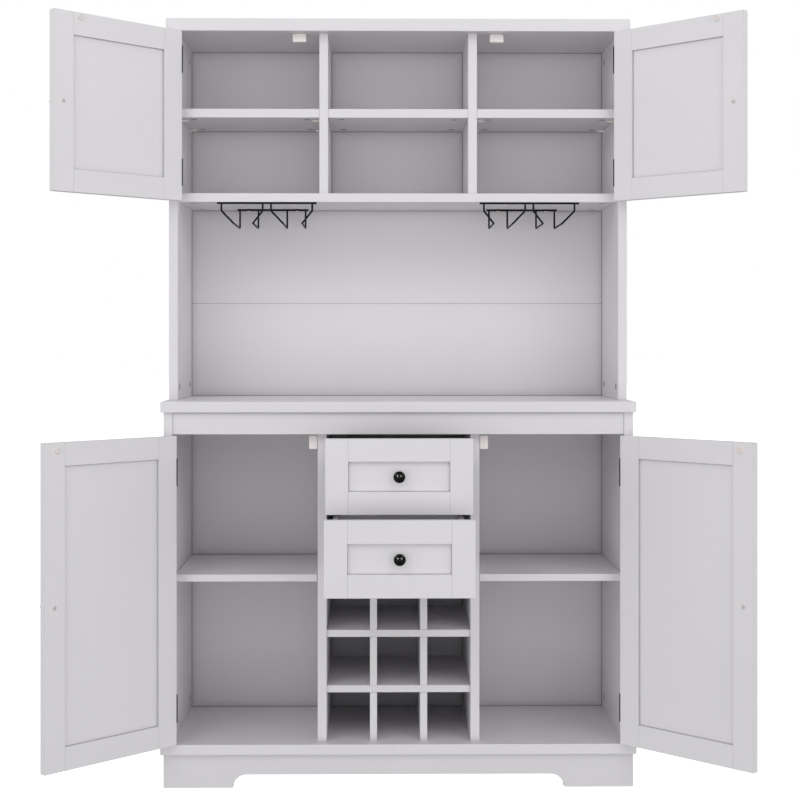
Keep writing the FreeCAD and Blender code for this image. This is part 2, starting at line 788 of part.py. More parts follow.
# Magnetic catches: upright on the base dividers, flat under the hutch top.
catches = []
for word, hand in HANDS.items():
    lower_z = rail_low - S.catch_below_rail
    upper_x = divider_in + S.catch_inset_upper
    half = S.catch_length / 2
    lower_y = front + set_back + S.catch_setback
    upper_y = hutch_edge + S.catch_setback
    catches.append(rounded_block(
        f"lower_catch_{word}", handed(hand, divider_out, divider_out + S.catch_drop),
        (lower_y, lower_y + S.catch_depth), (lower_z - half, lower_z + half), S.catch_round,
        "XMin" if hand == RIGHT else "XMax"))
    catches.append(rounded_block(
        f"upper_catch_{word}", handed(hand, upper_x - half, upper_x + half),
        (upper_y, upper_y + S.catch_depth), (hutch_top_low - S.catch_drop, hutch_top_low),
        S.catch_round, "ZMax"))
node("magnetic_catches", group("magnetic_catches", catches))

# Drawers on side runners: a channel on the divider and a slide on the box, opening to each other.
drawer_half = divider_in - S.drawer_gap
box_half = divider_in - S.runner_space
DRAWERS = {
    "lower": (fronts_low, S.lower_pull),
    "upper": (fronts_low + S.drawer_front_height + S.drawer_gap, S.upper_pull),
}


def channel(name, hand, web, lip, y, z):
    """A C-section along Y, its web at one distance from the middle and its lips at another."""
    sheet_in = S.runner_sheet if lip_is_inner(web, lip) else -S.runner_sheet
    web_limits = sorted((web, web - sheet_in), key=Size.number)
    lip_limits = sorted((web, lip), key=Size.number)
    return fuse(name, [
        box(f"{name}_web", handed(hand, *web_limits), y, z),
        box(f"{name}_low_lip", handed(hand, *lip_limits), y, (z[0], z[0] + S.runner_sheet)),
        box(f"{name}_high_lip", handed(hand, *lip_limits), y, (z[1] - S.runner_sheet, z[1])),
    ])


def lip_is_inner(web, lip):
    return lip.number() < web.number()


lip_reach = S.runner_space - 2 * S.runner_sheet - S.runner_clearance
channel_y = (front + set_back + S.drawer_gap, front + set_back + S.drawer_gap + S.box_depth)
fixed_channels = []
for word, (low, pull) in DRAWERS.items():
    name = f"{word}_drawer"
    y = (front - pull, front - pull + S.door_thick)
    z = (low, low + S.drawer_front_height)
    middle_z = (z[0] + z[1]) / 2
    box_y = (y[1], y[1] + S.box_depth)
    box_z = (low + S.box_lift, z[1] - S.box_headroom)
    panel_seat = y[0] + S.drawer_recess

    panel_hole = rod(
        f"{name}_panel_hole", "y", (0, panel_seat, middle_z), knob_hole_radius, S.panel_thick)
    frame, panel = framed_front(
        f"{name}_front", (-drawer_half, drawer_half), y, z, S.drawer_recess, ([], []), [panel_hole])
    node(f"{name}_front_frame", frame)
    node(f"{name}_front_panel", panel)
    node(f"{name}_knob", knob_with_screw(
        f"{name}_knob", Size(0), panel_seat, box_y[0] + S.box_thick, middle_z))

    bottom_z = box_z[0] + S.box_bottom_lift
    inner_half = box_half - S.box_thick
    inner_y = (box_y[0] + S.box_thick, box_y[1] - S.box_thick)
    lap = S.box_bottom_lap + S.lap_clearance
    groove = box(
        f"{name}_bottom_groove", (-inner_half - lap, inner_half + lap),
        (inner_y[0] - lap, inner_y[1] + lap),
        (bottom_z, bottom_z + S.box_bottom_thick + S.lap_clearance))
    wall_hole = rod(
        f"{name}_wall_hole", "y", (0, box_y[0], middle_z), knob_hole_radius, S.box_thick)
    walls = []
    for hand_word, hand in HANDS.items():
        wall = box(f"{name}_{hand_word}_blank", handed(hand, inner_half, box_half), box_y, box_z)
        walls.append(cut(f"{name}_{hand_word}_wall", wall, [groove]))
    across = (-inner_half + S.glue_line, inner_half - S.glue_line)
    head = box(f"{name}_head_blank", across, (box_y[0], inner_y[0]), box_z)
    tail = box(f"{name}_tail_blank", across, (inner_y[1], box_y[1]), box_z)
    walls.append(cut(f"{name}_head_wall", head, [groove, wall_hole]))
    walls.append(cut(f"{name}_tail_wall", tail, [groove]))
    node(f"{name}_box", group(f"{name}_box", walls))
    node(f"{name}_bottom", box(
        f"{name}_bottom",
        (-inner_half - S.box_bottom_lap, inner_half + S.box_bottom_lap),
        (inner_y[0] - S.box_bottom_lap, inner_y[1] + S.box_bottom_lap),
        (bottom_z, bottom_z + S.box_bottom_thick)))

    runner_middle = (box_z[0] + box_z[1]) / 2
    runner_z = (runner_middle - S.runner_height / 2, runner_middle + S.runner_height / 2)
    nest = S.runner_sheet + S.runner_clearance
    slide_z = (runner_z[0] + nest, runner_z[1] - nest)
    node(f"{name}_slides", group(f"{name}_slides", [
        channel(f"{name}_slide_{hand_word}", hand, box_half, box_half + lip_reach, box_y, slide_z)
        for hand_word, hand in HANDS.items()]))
    fixed_channels += [
        channel(f"{name}_channel_{hand_word}", hand, divider_in, divider_in - lip_reach, channel_y, runner_z)
        for hand_word, hand in HANDS.items()]
node("drawer_channels", group("drawer_channels", fixed_channels))


# Glass racks: bent wires welded to a front and a back bar, screwed under the hutch.
def bent_wire(corners, bend, radius):
    """A round wire along straight runs, with a tangent arc at each inner corner."""
    edges = []
    start = corners[0]
    for before, corner, after in zip(corners, corners[1:], corners[2:]):
        back = (before - corner).normalize()
        ahead = (after - corner).normalize()
        half_turn = (FreeCAD.Vector() - back).getAngle(ahead) / 2
        cut_back = bend * math.tan(half_turn)
        arc_start = corner + back * cut_back
        arc_end = corner + ahead * cut_back
        towards = (back + ahead).normalize()
        arc_middle = corner + towards * (bend / math.cos(half_turn) - bend)
        edges.append(Part.LineSegment(start, arc_start).toShape())
        edges.append(Part.Arc(arc_start, arc_middle, arc_end).toShape())
        start = arc_end
    edges.append(Part.LineSegment(start, corners[-1]).toShape())
    section = Part.Wire(Part.makeCircle(radius, corners[0], corners[1] - corners[0]))
    return Part.Wire(edges).makePipeShell([section], True, False)


def welded_wires(hand):
    """One rack's bars and wires as a single welded shape."""
    centre = hand * rack_centre.number()
    radius = S.wire_radius.number()
    top = bar_z.number()
    rail = top - S.wire_rail_drop.number()
    front_y, back_y = bar_front_y.number(), bar_back_y.number()
    slope_end = front_y + S.wire_slope_run.number()
    pairs = (
        (S.wire_top_outer.number(), S.wire_rail_outer.number()),
        (S.wire_top_inner.number(), S.wire_rail_inner.number()),
    )
    shapes = []
    for y, half in ((front_y, S.bar_front_half.number()), (back_y, S.bar_back_half.number())):
        start = FreeCAD.Vector(centre - half, y, top)
        shapes.append(Part.makeCylinder(bar_radius.number(), 2 * half, start, FreeCAD.Vector(1, 0, 0)))
    for sign in (LEFT, RIGHT):
        for top_half, rail_half in pairs:
            route = [
                FreeCAD.Vector(centre + sign * top_half, front_y, top),
                FreeCAD.Vector(centre + sign * top_half, front_y, top - S.wire_drop.number()),
                FreeCAD.Vector(centre + sign * rail_half, slope_end, rail),
                FreeCAD.Vector(centre + sign * rail_half, back_y, rail),
                FreeCAD.Vector(centre + sign * rail_half, back_y, top),
            ]
            shapes.append(bent_wire(route, S.wire_bend.number(), radius))
    return shapes[0].multiFuse(shapes[1:]).removeSplitter()


for word, hand in HANDS.items():
    wires = doc.addObject("Part::Feature", f"glass_rack_{word}_wires")
    wires.Shape = welded_wires(hand)
    screws = [
        fuse(f"glass_rack_{word}_screw{index}", [
            rod(f"glass_rack_{word}_shank{index}", "z", (x, y, hutch_low - 2 * bar_radius),
                S.rack_screw_radius, 2 * bar_radius + S.rack_screw_grip),
            rod(f"glass_rack_{word}_head{index}", "z",
                (x, y, hutch_low - 2 * bar_radius - S.rack_screw_radius),
                1.9 * S.rack_screw_radius, S.rack_screw_radius)])
        for index, (x, y) in enumerate(rack_screw_places(hand))]
    node(f"glass_rack_{word}", group(f"glass_rack_{word}", [wires] + screws))


# The finished pieces are checked, then each is written to its own file.
doc.recompute()
for made in doc.Objects:
    if {"Invalid", "Error"} & set(made.State):
        raise RuntimeError(f"{made.Label} failed: {made.State}")
os.makedirs("parts", exist_ok=True)
for piece in nodes:
    shape = piece.Shape
    if shape.isNull() or not shape.isValid() or not shape.Solids:
        raise RuntimeError(f"{piece.Label} has no sound shape")
for piece in nodes:
    piece.Shape.exportStep(f"parts/{piece.Label}.step")
    print(f"{piece.Label}: {len(piece.Shape.Solids)} solids, {piece.Shape.Volume / 1000:.1f} cm3")
print(f"{len(nodes)} nodes")
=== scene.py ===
import json
import logging
import math
from dataclasses import dataclass
from enum import Enum
from functools import cache, cached_property
from typing import Callable, Sequence

import bpy
from bpy.types import Collection, Material, NodeSocket, NodeTree, Object
from mathutils import Matrix, Vector

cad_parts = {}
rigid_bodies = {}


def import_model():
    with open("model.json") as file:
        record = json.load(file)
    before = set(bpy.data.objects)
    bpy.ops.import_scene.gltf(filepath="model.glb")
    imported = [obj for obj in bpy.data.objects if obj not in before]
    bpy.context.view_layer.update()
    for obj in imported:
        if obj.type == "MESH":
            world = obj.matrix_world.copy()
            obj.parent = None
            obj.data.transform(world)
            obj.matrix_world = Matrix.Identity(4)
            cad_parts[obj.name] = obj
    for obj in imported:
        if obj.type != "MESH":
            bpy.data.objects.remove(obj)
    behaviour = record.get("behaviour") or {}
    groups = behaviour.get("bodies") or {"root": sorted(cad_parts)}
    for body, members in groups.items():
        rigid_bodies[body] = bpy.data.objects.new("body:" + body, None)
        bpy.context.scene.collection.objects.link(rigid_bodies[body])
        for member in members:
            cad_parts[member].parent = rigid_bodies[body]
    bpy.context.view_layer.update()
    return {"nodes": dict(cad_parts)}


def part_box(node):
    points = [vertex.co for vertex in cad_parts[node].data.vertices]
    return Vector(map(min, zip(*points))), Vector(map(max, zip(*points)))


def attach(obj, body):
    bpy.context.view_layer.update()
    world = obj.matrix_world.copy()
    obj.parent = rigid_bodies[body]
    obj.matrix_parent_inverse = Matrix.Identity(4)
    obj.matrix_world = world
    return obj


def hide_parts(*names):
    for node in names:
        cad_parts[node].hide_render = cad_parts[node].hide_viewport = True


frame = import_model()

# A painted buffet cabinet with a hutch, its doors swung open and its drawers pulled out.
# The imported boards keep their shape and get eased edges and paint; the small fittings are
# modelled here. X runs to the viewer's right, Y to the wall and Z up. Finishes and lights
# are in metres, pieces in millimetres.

log = logging.getLogger("buffet")
logging.basicConfig(level=logging.INFO, format="%(message)s")

MM = 0.001
TOUCH = 1e-6
DIVIDER_THICK = 0.019
PANEL_ARRIS = 0.25
BOX_ARRIS = 0.5
Pair = tuple[float, float]
Triple = tuple[float, float, float]
Colour = Triple
Noise = Pair
BLACK: Colour = (0.0, 0.0, 0.0)
WHITE_LIGHT = (1.0, 1.0, 1.0, 1.0)
EVEN: Triple = (1.0, 1.0, 1.0)


class Hand(Enum):
    """The side of the cabinet that a piece belongs to."""

    LEFT = -1
    RIGHT = 1

    @property
    def word(self) -> str:
        """The side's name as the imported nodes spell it."""
        return self.name.lower()


class Facing(Enum):
    """The way that a fitting's visible face looks."""

    DOWN = Matrix.Rotation(math.pi, 4, "X")
    FRONT = Matrix.Rotation(math.pi / 2, 4, "X")
    REAR = Matrix.Rotation(-math.pi / 2, 4, "X")
    TO_LEFT = Matrix.Rotation(-math.pi / 2, 4, "Y")
    TO_RIGHT = Matrix.Rotation(math.pi / 2, 4, "Y")

    @staticmethod
    def across(sign: int) -> "Facing":
        """The facing along X that has this sign."""
        return Facing.TO_RIGHT if sign > 0 else Facing.TO_LEFT

    def at(self, x: float, y: float, z: float, turn: float = 0.0) -> Matrix:
        """Places a fitting that is modelled upwards about Z.

        Args:
            x: Place along X in millimetres.
            y: Place along Y in millimetres.
            z: Place along Z in millimetres.
            turn: How far it is turned about its own axis, in degrees.

        Returns:
            The matrix that sets the fitting's face at the place.
        """
        spun = Matrix.Rotation(math.radians(turn), 4, "Z")
        return Matrix.Translation(Vector((x, y, z)) * MM) @ self.value @ spun


# Finishes


def operator(operation: str, reflected: bool = False) -> Callable[..., "Flow"]:
    """Makes one of a flow's operators.

    Args:
        operation: The operation of the Math node that it adds.
        reflected: Whether the other value comes first.

    Returns:
        The method.
    """
    def method(flow: "Flow", other: "Flow | float" = 0.0) -> "Flow":
        """Takes the flow and the other value through the node."""
        return flow.through(operation, *((other, flow) if reflected else (flow, other)))
    return method


class Flow:
    """A value that runs through a tree of nodes and takes part in arithmetic.

    The other value of an operator may be a number. A comparison gives one or nothing.
    """

    def __init__(self, tree: NodeTree, socket: NodeSocket) -> None:
        """Keeps the tree and the socket that the value leaves."""
        self.tree = tree
        self.socket = socket

    def through(self, operation: str, *values: "Flow | float") -> "Flow":
        """Adds a Math node.

        Args:
            operation: Its operation.
            values: What goes into it.

        Returns:
            The flow out of it.
        """
        node = self.tree.nodes.new("ShaderNodeMath")
        node.operation = operation
        for socket, value in zip(node.inputs, values):
            feed(self.tree, socket, value)
        return Flow(self.tree, node.outputs[0])

    __add__, __radd__ = operator("ADD"), operator("ADD", True)
    __sub__, __rsub__ = operator("SUBTRACT"), operator("SUBTRACT", True)
    __mul__, __rmul__ = operator("MULTIPLY"), operator("MULTIPLY", True)
    __gt__, __lt__ = operator("GREATER_THAN"), operator("LESS_THAN")
    __abs__, sine, power_of_e = operator("ABSOLUTE"), operator("SINE"), operator("EXPONENT")
    most, least = operator("MAXIMUM"), operator("MINIMUM")


def feed(tree: NodeTree, socket: NodeSocket, value: object) -> None:
    """Links a flow to a socket, or sets the socket to a plain value.

    Args:
        tree: The tree of both.
        socket: The socket.
        value: The flow or the value.
    """
    if isinstance(value, Flow):
        tree.links.new(value.socket, socket)
    else:
        socket.default_value = value


class Nodes:
    """The nodes of a material or of the sky."""

    def __init__(self, tree: NodeTree) -> None:
        """Keeps the tree that they are added to."""
        self.tree = tree

    def node(self, kind: str, settings: dict, inputs: dict, output: int | str = 0) -> Flow:
        """Adds any node.

        Args:
            kind: The node's type.
            settings: Its properties, set before its sockets.
            inputs: Values or flows by socket name or number.
            output: The socket to go on from.

        Returns:
            The flow out of that socket.
        """
        node = self.tree.nodes.new(kind)
        for key, value in settings.items():
            setattr(node, key, value)
        for key, value in inputs.items():
            feed(self.tree, node.inputs[key], value)
        return Flow(self.tree, node.outputs[output])

    def axis(self, letter: str, kind: str = "Object") -> Flow:
        """One of the coordinates of a kind."""
        spot = self.node("ShaderNodeTexCoord", {}, {}, kind)
        return self.node("ShaderNodeSeparateXYZ", {}, {0: spot}, letter)


class Recipe(Nodes):
    """One material's nodes, written as expressions on Object coordinates."""

    def __init__(self, name: str) -> None:
        """Starts a material with one Principled shader.

        Args:
            name: The material's name.
        """
        self.material = bpy.data.materials.new(name)
        self.material.use_nodes = True
        super().__init__(self.material.node_tree)
        self.shader = next(n for n in self.tree.nodes if n.type == "BSDF_PRINCIPLED")

    def noise(self, kind: Noise, stretch: Triple = EVEN) -> Flow:
        """Soft noise about one half, of so many features per metre and octaves of detail.

        Args:
            kind: The features and the octaves.
            stretch: Scale along each axis, below one where the noise is drawn out.

        Returns:
            The noise value.
        """
        scale, detail = kind
        spot = self.node("ShaderNodeTexCoord", {}, {}, "Object")
        if stretch != EVEN:
            spot = self.node("ShaderNodeMapping", {}, {"Vector": spot, "Scale": stretch})
        return self.node("ShaderNodeTexNoise", {}, {
            "Vector": spot, "Scale": scale, "Detail": detail, "Roughness": 0.55})

    def blend(self, share: Flow, first: object, second: object) -> Flow:
        """Colour that goes from first to second as share goes from nothing to one."""
        first, second = (c if isinstance(c, Flow) else (*c, 1.0) for c in (first, second))
        return self.node(
            "ShaderNodeMix", {"data_type": "RGBA"}, {0: share, 6: first, 7: second}, 2)

    def bump(self, height: Flow, depth: float, strength: float) -> Flow:
        """Normal of a surface that rises by height times depth metres."""
        return self.node("ShaderNodeBump", {}, {
            "Height": height, "Distance": depth, "Strength": strength})

    def finish(self, **sockets: object) -> Material:
        """Sets the shader's sockets.

        Args:
            sockets: Values or flows by socket name, underscores standing for spaces.

        Returns:
            The material.
        """
        for key, value in sockets.items():
            feed(self.tree, self.shader.inputs[key.replace("_", " ")], value)
        return self.material


@dataclass(frozen=True)
class Finish:
    """What covers a piece: patches in two shares of its tint, uneven gloss and a fine grain.

    Lengths are in metres.
    """

    name: str
    tint: Colour
    roughness: float
    slot: str = ""
    gloss: float = 0.4
    metal: float = 0.0
    patches: Noise = (120.0, 3.0)
    first: Colour = EVEN
    second: Colour = EVEN
    lift: float = 0.0
    uneven: float = 0.2
    sheen: Noise = (180.0, 2.0)
    grain: Noise = (1400.0, 2.0)
    depth: float = 0.00004
    strength: float = 0.5
    drawn: Triple = EVEN

    @cache
    def mix(self) -> Material:
        """Mixes the finish, once for all the pieces that it is laid on.

        Returns:
            The material.
        """
        recipe = Recipe(self.name)
        return recipe.finish(
            Base_Color=self._colour(recipe),
            Metallic=self._metal(recipe),
            Roughness=self.roughness + self.uneven * (recipe.noise(self.sheen, self.drawn) - 0.5),
            Normal=recipe.bump(self._relief(recipe), self.depth, self.strength),
            Specular_IOR_Level=self.gloss)

    def _colour(self, recipe: Recipe) -> Flow:
        """Colour of the patches.

        Args:
            recipe: The material in the making.

        Returns:
            The colour.
        """
        first = tuple(c * share for c, share in zip(self.tint, self.first))
        second = tuple(c * share + self.lift for c, share in zip(self.tint, self.second))
        return recipe.blend(self._patches(recipe), first, second)

    def _patches(self, recipe: Recipe) -> Flow:
        """How far each place goes from the first share to the second."""
        return recipe.noise(self.patches)

    def _metal(self, recipe: Recipe) -> Flow | float:
        """How far the surface is bare metal."""
        return self.metal

    def _relief(self, recipe: Recipe) -> Flow:
        """Height of the grain."""
        return recipe.noise(self.grain, self.drawn)


@dataclass(frozen=True)
class BoardPaint(Finish):
    """Sprayed paint on fibreboard: faint mottling with flecks, and fine orange peel."""

    slot: str = "painted_mdf"
    gloss: float = 0.42
    patches: Noise = (5.0, 4.0)
    flecks: Noise = (260.0, 2.0)
    fleck_share: float = 0.3
    first: Colour = (0.965, 0.965, 0.965)
    second: Colour = (1.035, 1.035, 1.035)
    uneven: float = 0.16
    sheen: Noise = (34.0, 3.0)
    grain: Noise = (900.0, 2.0)
    fine_grain: Noise = (2600.0, 1.0)
    fine_share: float = 0.6
    depth: float = 0.00005
    strength: float = 0.6

    def _shade(self, recipe: Recipe) -> Flow | None:
        """Share of black painted in as shade at each place, or nothing where the paint is plain."""
        return None

    def _colour(self, recipe: Recipe) -> Flow:
        """Mottled tint, with painted shade where the paint is not plain."""
        colour, shade = super()._colour(recipe), self._shade(recipe)
        return recipe.blend(shade, colour, BLACK) if shade else colour

    def _patches(self, recipe: Recipe) -> Flow:
        """Clouds with flecks in them."""
        clouds = (1.0 - self.fleck_share) * super()._patches(recipe)
        return clouds + self.fleck_share * recipe.noise(self.flecks)

    def _relief(self, recipe: Recipe) -> Flow:
        """Height of the orange peel."""
        return super()._relief(recipe) + self.fine_share * recipe.noise(self.fine_grain)


@dataclass(frozen=True)
class Stance:
    """Where a board stands against a face: its reach from the middle plane and its height."""

    near: float
    far: float
    low: float
    high: float

    @staticmethod
    def of(node: str) -> "Stance":
        """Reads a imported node's stance.

        Args:
            node: The node, one board or a pair of dividers.

        Returns:
            The stance, the same on both sides of the middle plane.
        """
        low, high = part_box(node)
        far = max(-low.x, high.x)
        near = far - DIVIDER_THICK if node.endswith("dividers") else max(low.x, -high.x, 0.0)
        return Stance(near, far, low.z, high.z)

    def distance(self, across: Flow, up: Flow) -> Flow:
        """How far a place on the face is from the board, nothing or less behind it."""
        beside = (self.near - across).most(across - self.far)
        return beside.most((self.low - up).most(up - self.high))


@dataclass(frozen=True)
class JointedPaint(BoardPaint):
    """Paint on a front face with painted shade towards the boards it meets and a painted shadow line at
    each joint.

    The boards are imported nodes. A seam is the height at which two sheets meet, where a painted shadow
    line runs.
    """

    boards: tuple[str, ...] = ()
    corner_shade: float = 0.30
    corner_reach: float = 0.010
    joint_shade: float = 0.45
    joint_width: float = 0.0012
    seam: float | None = None
    seam_half: float = 0.0008
    seam_shade: float = 0.32

    def _shade(self, recipe: Recipe) -> Flow | None:
        """Share of black painted in as shade at each place on the front face.

        Args:
            recipe: The material in the making.

        Returns:
            The share, or nothing where no board meets the face.
        """
        if not self.boards:
            return None
        across, up = abs(recipe.axis("X")), recipe.axis("Z")
        gap, *others = (Stance.of(board).distance(across, up) for board in self.boards)
        for other in others:
            gap = gap.least(other)
        gap = gap.most(0.0)
        shade = self.corner_shade * (gap * (-1.0 / self.corner_reach)).power_of_e()
        shade = shade + self.joint_shade * (gap < self.joint_width)
        if self.seam is not None:
            shade = shade + self.seam_shade * (abs(up - self.seam) < self.seam_half)
        return (recipe.axis("Y", "Normal") < -0.5) * shade


@dataclass(frozen=True)
class BackboardPaint(JointedPaint):
    """Paint on thin hardboard with a woven press mark on its rear face."""

    slot: str = "painted_backboard"
    screen_pitch: float = 0.0016
    screen_height: float = 4.0

    def _relief(self, recipe: Recipe) -> Flow:
        """Height of the orange peel, and of the press mark on the rear face.

        Args:
            recipe: The material in the making.

        Returns:
            The height.
        """
        turns = 2.0 * math.pi / self.screen_pitch
        weave = (recipe.axis("X") * turns).sine() * (recipe.axis("Z") * turns).sine()
        rear = recipe.axis("Y", "Normal") > 0.5
        return super()._relief(recipe) + self.screen_height * (rear * weave)


@dataclass(frozen=True)
class DoorPaint(BoardPaint):
    """Paint on a door with painted shade in the panel's recess: on the hinge stile's wall and the panel
    by it.

    Lengths are in metres, from the hinge pin towards the free edge and up from the floor.
    """

    pin_x: float = 0.0
    pin_y: float = 0.0
    open_angle: float = 0.0
    wall: float = 0.0
    wall_half: float = 0.0004
    opening: Pair = (0.0, 0.0)
    wall_shade: float = 0.0
    panel_shade: float = 0.0
    rail_shade: float = 0.0
    shade_reach: float = 0.0035

    def _fade(self, gap: Flow) -> Flow:
        """Falls from one at the recess's edge to nothing a few reaches away."""
        return (gap.most(0.0) * (-1.0 / self.shade_reach)).power_of_e()

    def _shade(self, recipe: Recipe) -> Flow:
        """Share of black painted in the recess as shade.

        Args:
            recipe: The material in the making.

        Returns:
            The share.
        """
        turn = math.radians(180.0 - self.open_angle)
        outward, forward = abs(recipe.axis("X")) - self.pin_x, self.pin_y - recipe.axis("Y")
        past_wall = math.cos(turn) * outward + math.sin(turn) * forward - self.wall
        up, (low, high) = recipe.axis("Z"), self.opening
        on_wall = (abs(past_wall) < self.wall_half) * ((up > low) * (up < high))
        on_panel = self.panel_shade * self._fade(past_wall) + self.rail_shade * self._fade(up - low)
        return self.wall_shade * on_wall + on_panel


@dataclass(frozen=True)
class PowderCoat(Finish):
    """Fine-grained black powder coat on wire and hinge leaves, with rubbed patches."""

    slot: str = "black_metal"
    second: Colour = (1.8, 1.8, 1.8)
    lift: float = 0.004


@dataclass(frozen=True)
class ScrewedWire(PowderCoat):
    """Powder coat on a glass rack, whose plated screw heads stay bright. Places in metres."""

    rack_centre: float = 0.285
    screw_half: float = 0.055
    rows_middle: float = -0.1295
    rows_half: float = 0.089
    head_radius: float = 0.0035
    heads_below: float = 1.23559
    plate: Colour = (0.80, 0.76, 0.68)
    plate_metal: float = 0.8

    def _head(self, recipe: Recipe) -> Flow:
        """One on the screw heads and nothing elsewhere.

        Args:
            recipe: The material in the making.

        Returns:
            The mask.
        """
        beside = abs(abs(abs(recipe.axis("X")) - self.rack_centre) - self.screw_half)
        behind = abs(abs(recipe.axis("Y") - self.rows_middle) - self.rows_half)
        return (recipe.axis("Z") < self.heads_below) * (
            (beside < self.head_radius) * (behind < self.head_radius))

    def _colour(self, recipe: Recipe) -> Flow:
        """Black wire with plated heads."""
        return recipe.blend(self._head(recipe), super()._colour(recipe), self.plate)

    def _metal(self, recipe: Recipe) -> Flow:
        """Metal on the heads alone."""
        return self.plate_metal * self._head(recipe)


@dataclass(frozen=True)
class DarkBronze(Finish):
    """Dark lacquered metal of the knobs, with warmer patches and faint turning marks."""

    slot: str = "dark_bronze"
    gloss: float = 0.10
    patches: Noise = (210.0, 3.0)
    second: Colour = (2.2, 1.7, 1.4)
    uneven: float = 0.14
    sheen: Noise = (420.0, 2.0)
    grain: Noise = (1500.0, 2.0)
    depth: float = 0.00002
    strength: float = 0.4


@dataclass(frozen=True)
class MouldedPlastic(Finish):
    """Ivory plastic or lacquer with shaded patches and the fine grain of a mould."""

    gloss: float = 0.45
    patches: Noise = (90.0, 3.0)
    first: Colour = (0.94, 0.94, 0.94)
    uneven: float = 0.15
    sheen: Noise = (300.0, 2.0)
    grain: Noise = (1800.0, 1.0)
    depth: float = 0.00003


@dataclass(frozen=True)
class ZincPlate(Finish):
    """Bright zinc on steel, drawn along the piece, with a faint bluish passivation."""

    slot: str = "zinc_steel"
    gloss: float = 0.5
    metal: float = 1.0
    patches: Noise = (60.0, 3.0)
    second: Colour = (0.88, 0.93, 1.0)
    uneven: float = 0.24
    sheen: Noise = (900.0, 3.0)
    grain: Noise = (900.0, 3.0)
    depth: float = 0.00002
    strength: float = 0.4
    drawn: Triple = (1.0, 0.06, 1.0)


PAINT = BoardPaint("grey_paint", (0.745, 0.728, 0.752), 0.46)
# Painted light: the doors' paint is lighter than the carcass's, standing in for light on the open doors.
DOOR_LIGHTENED_TINT = (0.772, 0.755, 0.779)
# Painted shade: the plinth's paint is darker than the carcass's, for the shade low by the floor.
PLINTH_SHADED_PAINT = BoardPaint("grey_paint_plinth", (0.705, 0.689, 0.712), 0.46)
# Painted shade: eased edges are painted darker than the faces, deepening the lines at joints and round
# panels.
EDGE_SHADED_PAINT = BoardPaint("grey_paint_edge", (0.672, 0.657, 0.678), 0.44,
                        first=(0.98, 0.98, 0.98), second=(1.02, 1.02, 1.02))
BOTTOM_PAINT = BackboardPaint("grey_drawer_bottom", (0.725, 0.710, 0.731), 0.52)
# Painted shade: the back panels darken towards the boards that meet them, with painted shadow lines at
# the joints and the hutch's seam.
BASE_BACK_PAINT = BackboardPaint("grey_base_back", (0.755, 0.739, 0.761), 0.52, boards=(
    "base_side_left", "base_dividers", "base_shelves", "base_bottom_panel", "countertop"))
HUTCH_BACK_PAINT = BackboardPaint("grey_hutch_back", (0.755, 0.739, 0.761), 0.52, seam=1.02505, boards=(
    "hutch_side_left", "hutch_dividers", "hutch_shelves", "hutch_bottom_board", "hutch_top_board",
    "countertop"))
# Painted shadow: the rail darkens under the counter's overhang, with painted shadow lines along its top
# and at its ends.
RAIL_PAINT = JointedPaint(
    "grey_rail", PAINT.tint, PAINT.roughness, corner_shade=0.08, corner_reach=0.006,
    joint_shade=0.42, joint_width=0.0018, boards=("base_side_left", "countertop"))
WIRE_BLACK = ScrewedWire("wire_black", (0.005, 0.005, 0.0055), 0.48, gloss=0.15)
HINGE_BLACK = PowderCoat("hinge_black", (0.004, 0.004, 0.004), 0.50, gloss=0.12)
KNOB_BRONZE = DarkBronze("knob_dark_bronze", (0.004, 0.004, 0.0038), 0.15)
CATCH_IVORY = MouldedPlastic("catch_ivory", (0.99, 0.92, 0.91), 0.44, "ivory_plastic")
STRIKE_IVORY = MouldedPlastic("strike_ivory", (0.80, 0.735, 0.71), 0.34, "ivory_lacquer")
ZINC = ZincPlate("zinc_plate", (0.60, 0.60, 0.61), 0.36)
CAM_ZINC = ZincPlate("cam_die_cast", (0.36, 0.36, 0.365), 0.42)
SCREW_NICKEL = ZincPlate("screw_nickel", (0.66, 0.61, 0.58), 0.46, metal=0.35)
PIN_NICKEL = ZincPlate("pin_nickel", (0.94, 0.89, 0.81), 0.40, metal=0.30)


def coat(piece: Object, *finishes: Finish) -> None:
    """Gives a piece its finishes.

    Args:
        piece: The piece.
        finishes: One finish for each of its material slots.
    """
    piece.data.materials.clear()
    for finish in finishes:
        piece.data.materials.append(finish.mix())


def coat_board(name: str, arris: float = 0.6, paint: BoardPaint = PAINT) -> None:
    """Paints a packed board and eases its sharp edges with live modifiers.

    Args:
        name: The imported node.
        arris: Width of the eased edge in millimetres.
        paint: The paint on its faces.
    """
    board = frame["nodes"][name]
    # The eased edges take a darker paint: painted shade that deepens the joint lines.
    coat(board, paint, EDGE_SHADED_PAINT)
    for title, kind, settings in (
            ("one skin", "WELD", {"merge_threshold": 2e-6}),
            ("whole faces", "DECIMATE", {"decimate_type": "DISSOLVE", "angle_limit": math.radians(0.5)}),
            ("eased edges", "BEVEL", {
                "width": arris * MM, "segments": 2, "limit_method": "ANGLE", "material": 1,
                "angle_limit": math.radians(40), "use_clamp_overlap": False}),
            ("clean shading", "WEIGHTED_NORMAL", {"mode": "FACE_AREA", "keep_sharp": True})):
        modifier = board.modifiers.new(title, kind)
        for key, value in settings.items():
            setattr(modifier, key, value)
    log.info("board %s painted, edges eased", name)


def coat_node(name: str, finish: Finish) -> None:
    """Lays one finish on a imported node."""
    coat(frame["nodes"][name], finish)
    log.info("node %s finished in %s", name, finish.name)


# Modelling by hand: primitives, edit-mode steps and applied modifiers


def pick(*pieces: Object) -> None:
    """Selects some pieces alone.

    Args:
        pieces: The pieces, the first of them to be active.
    """
    bpy.ops.object.select_all(action="DESELECT")
    for piece in pieces:
        piece.select_set(True)
    if pieces:
        bpy.context.view_layer.objects.active = pieces[0]


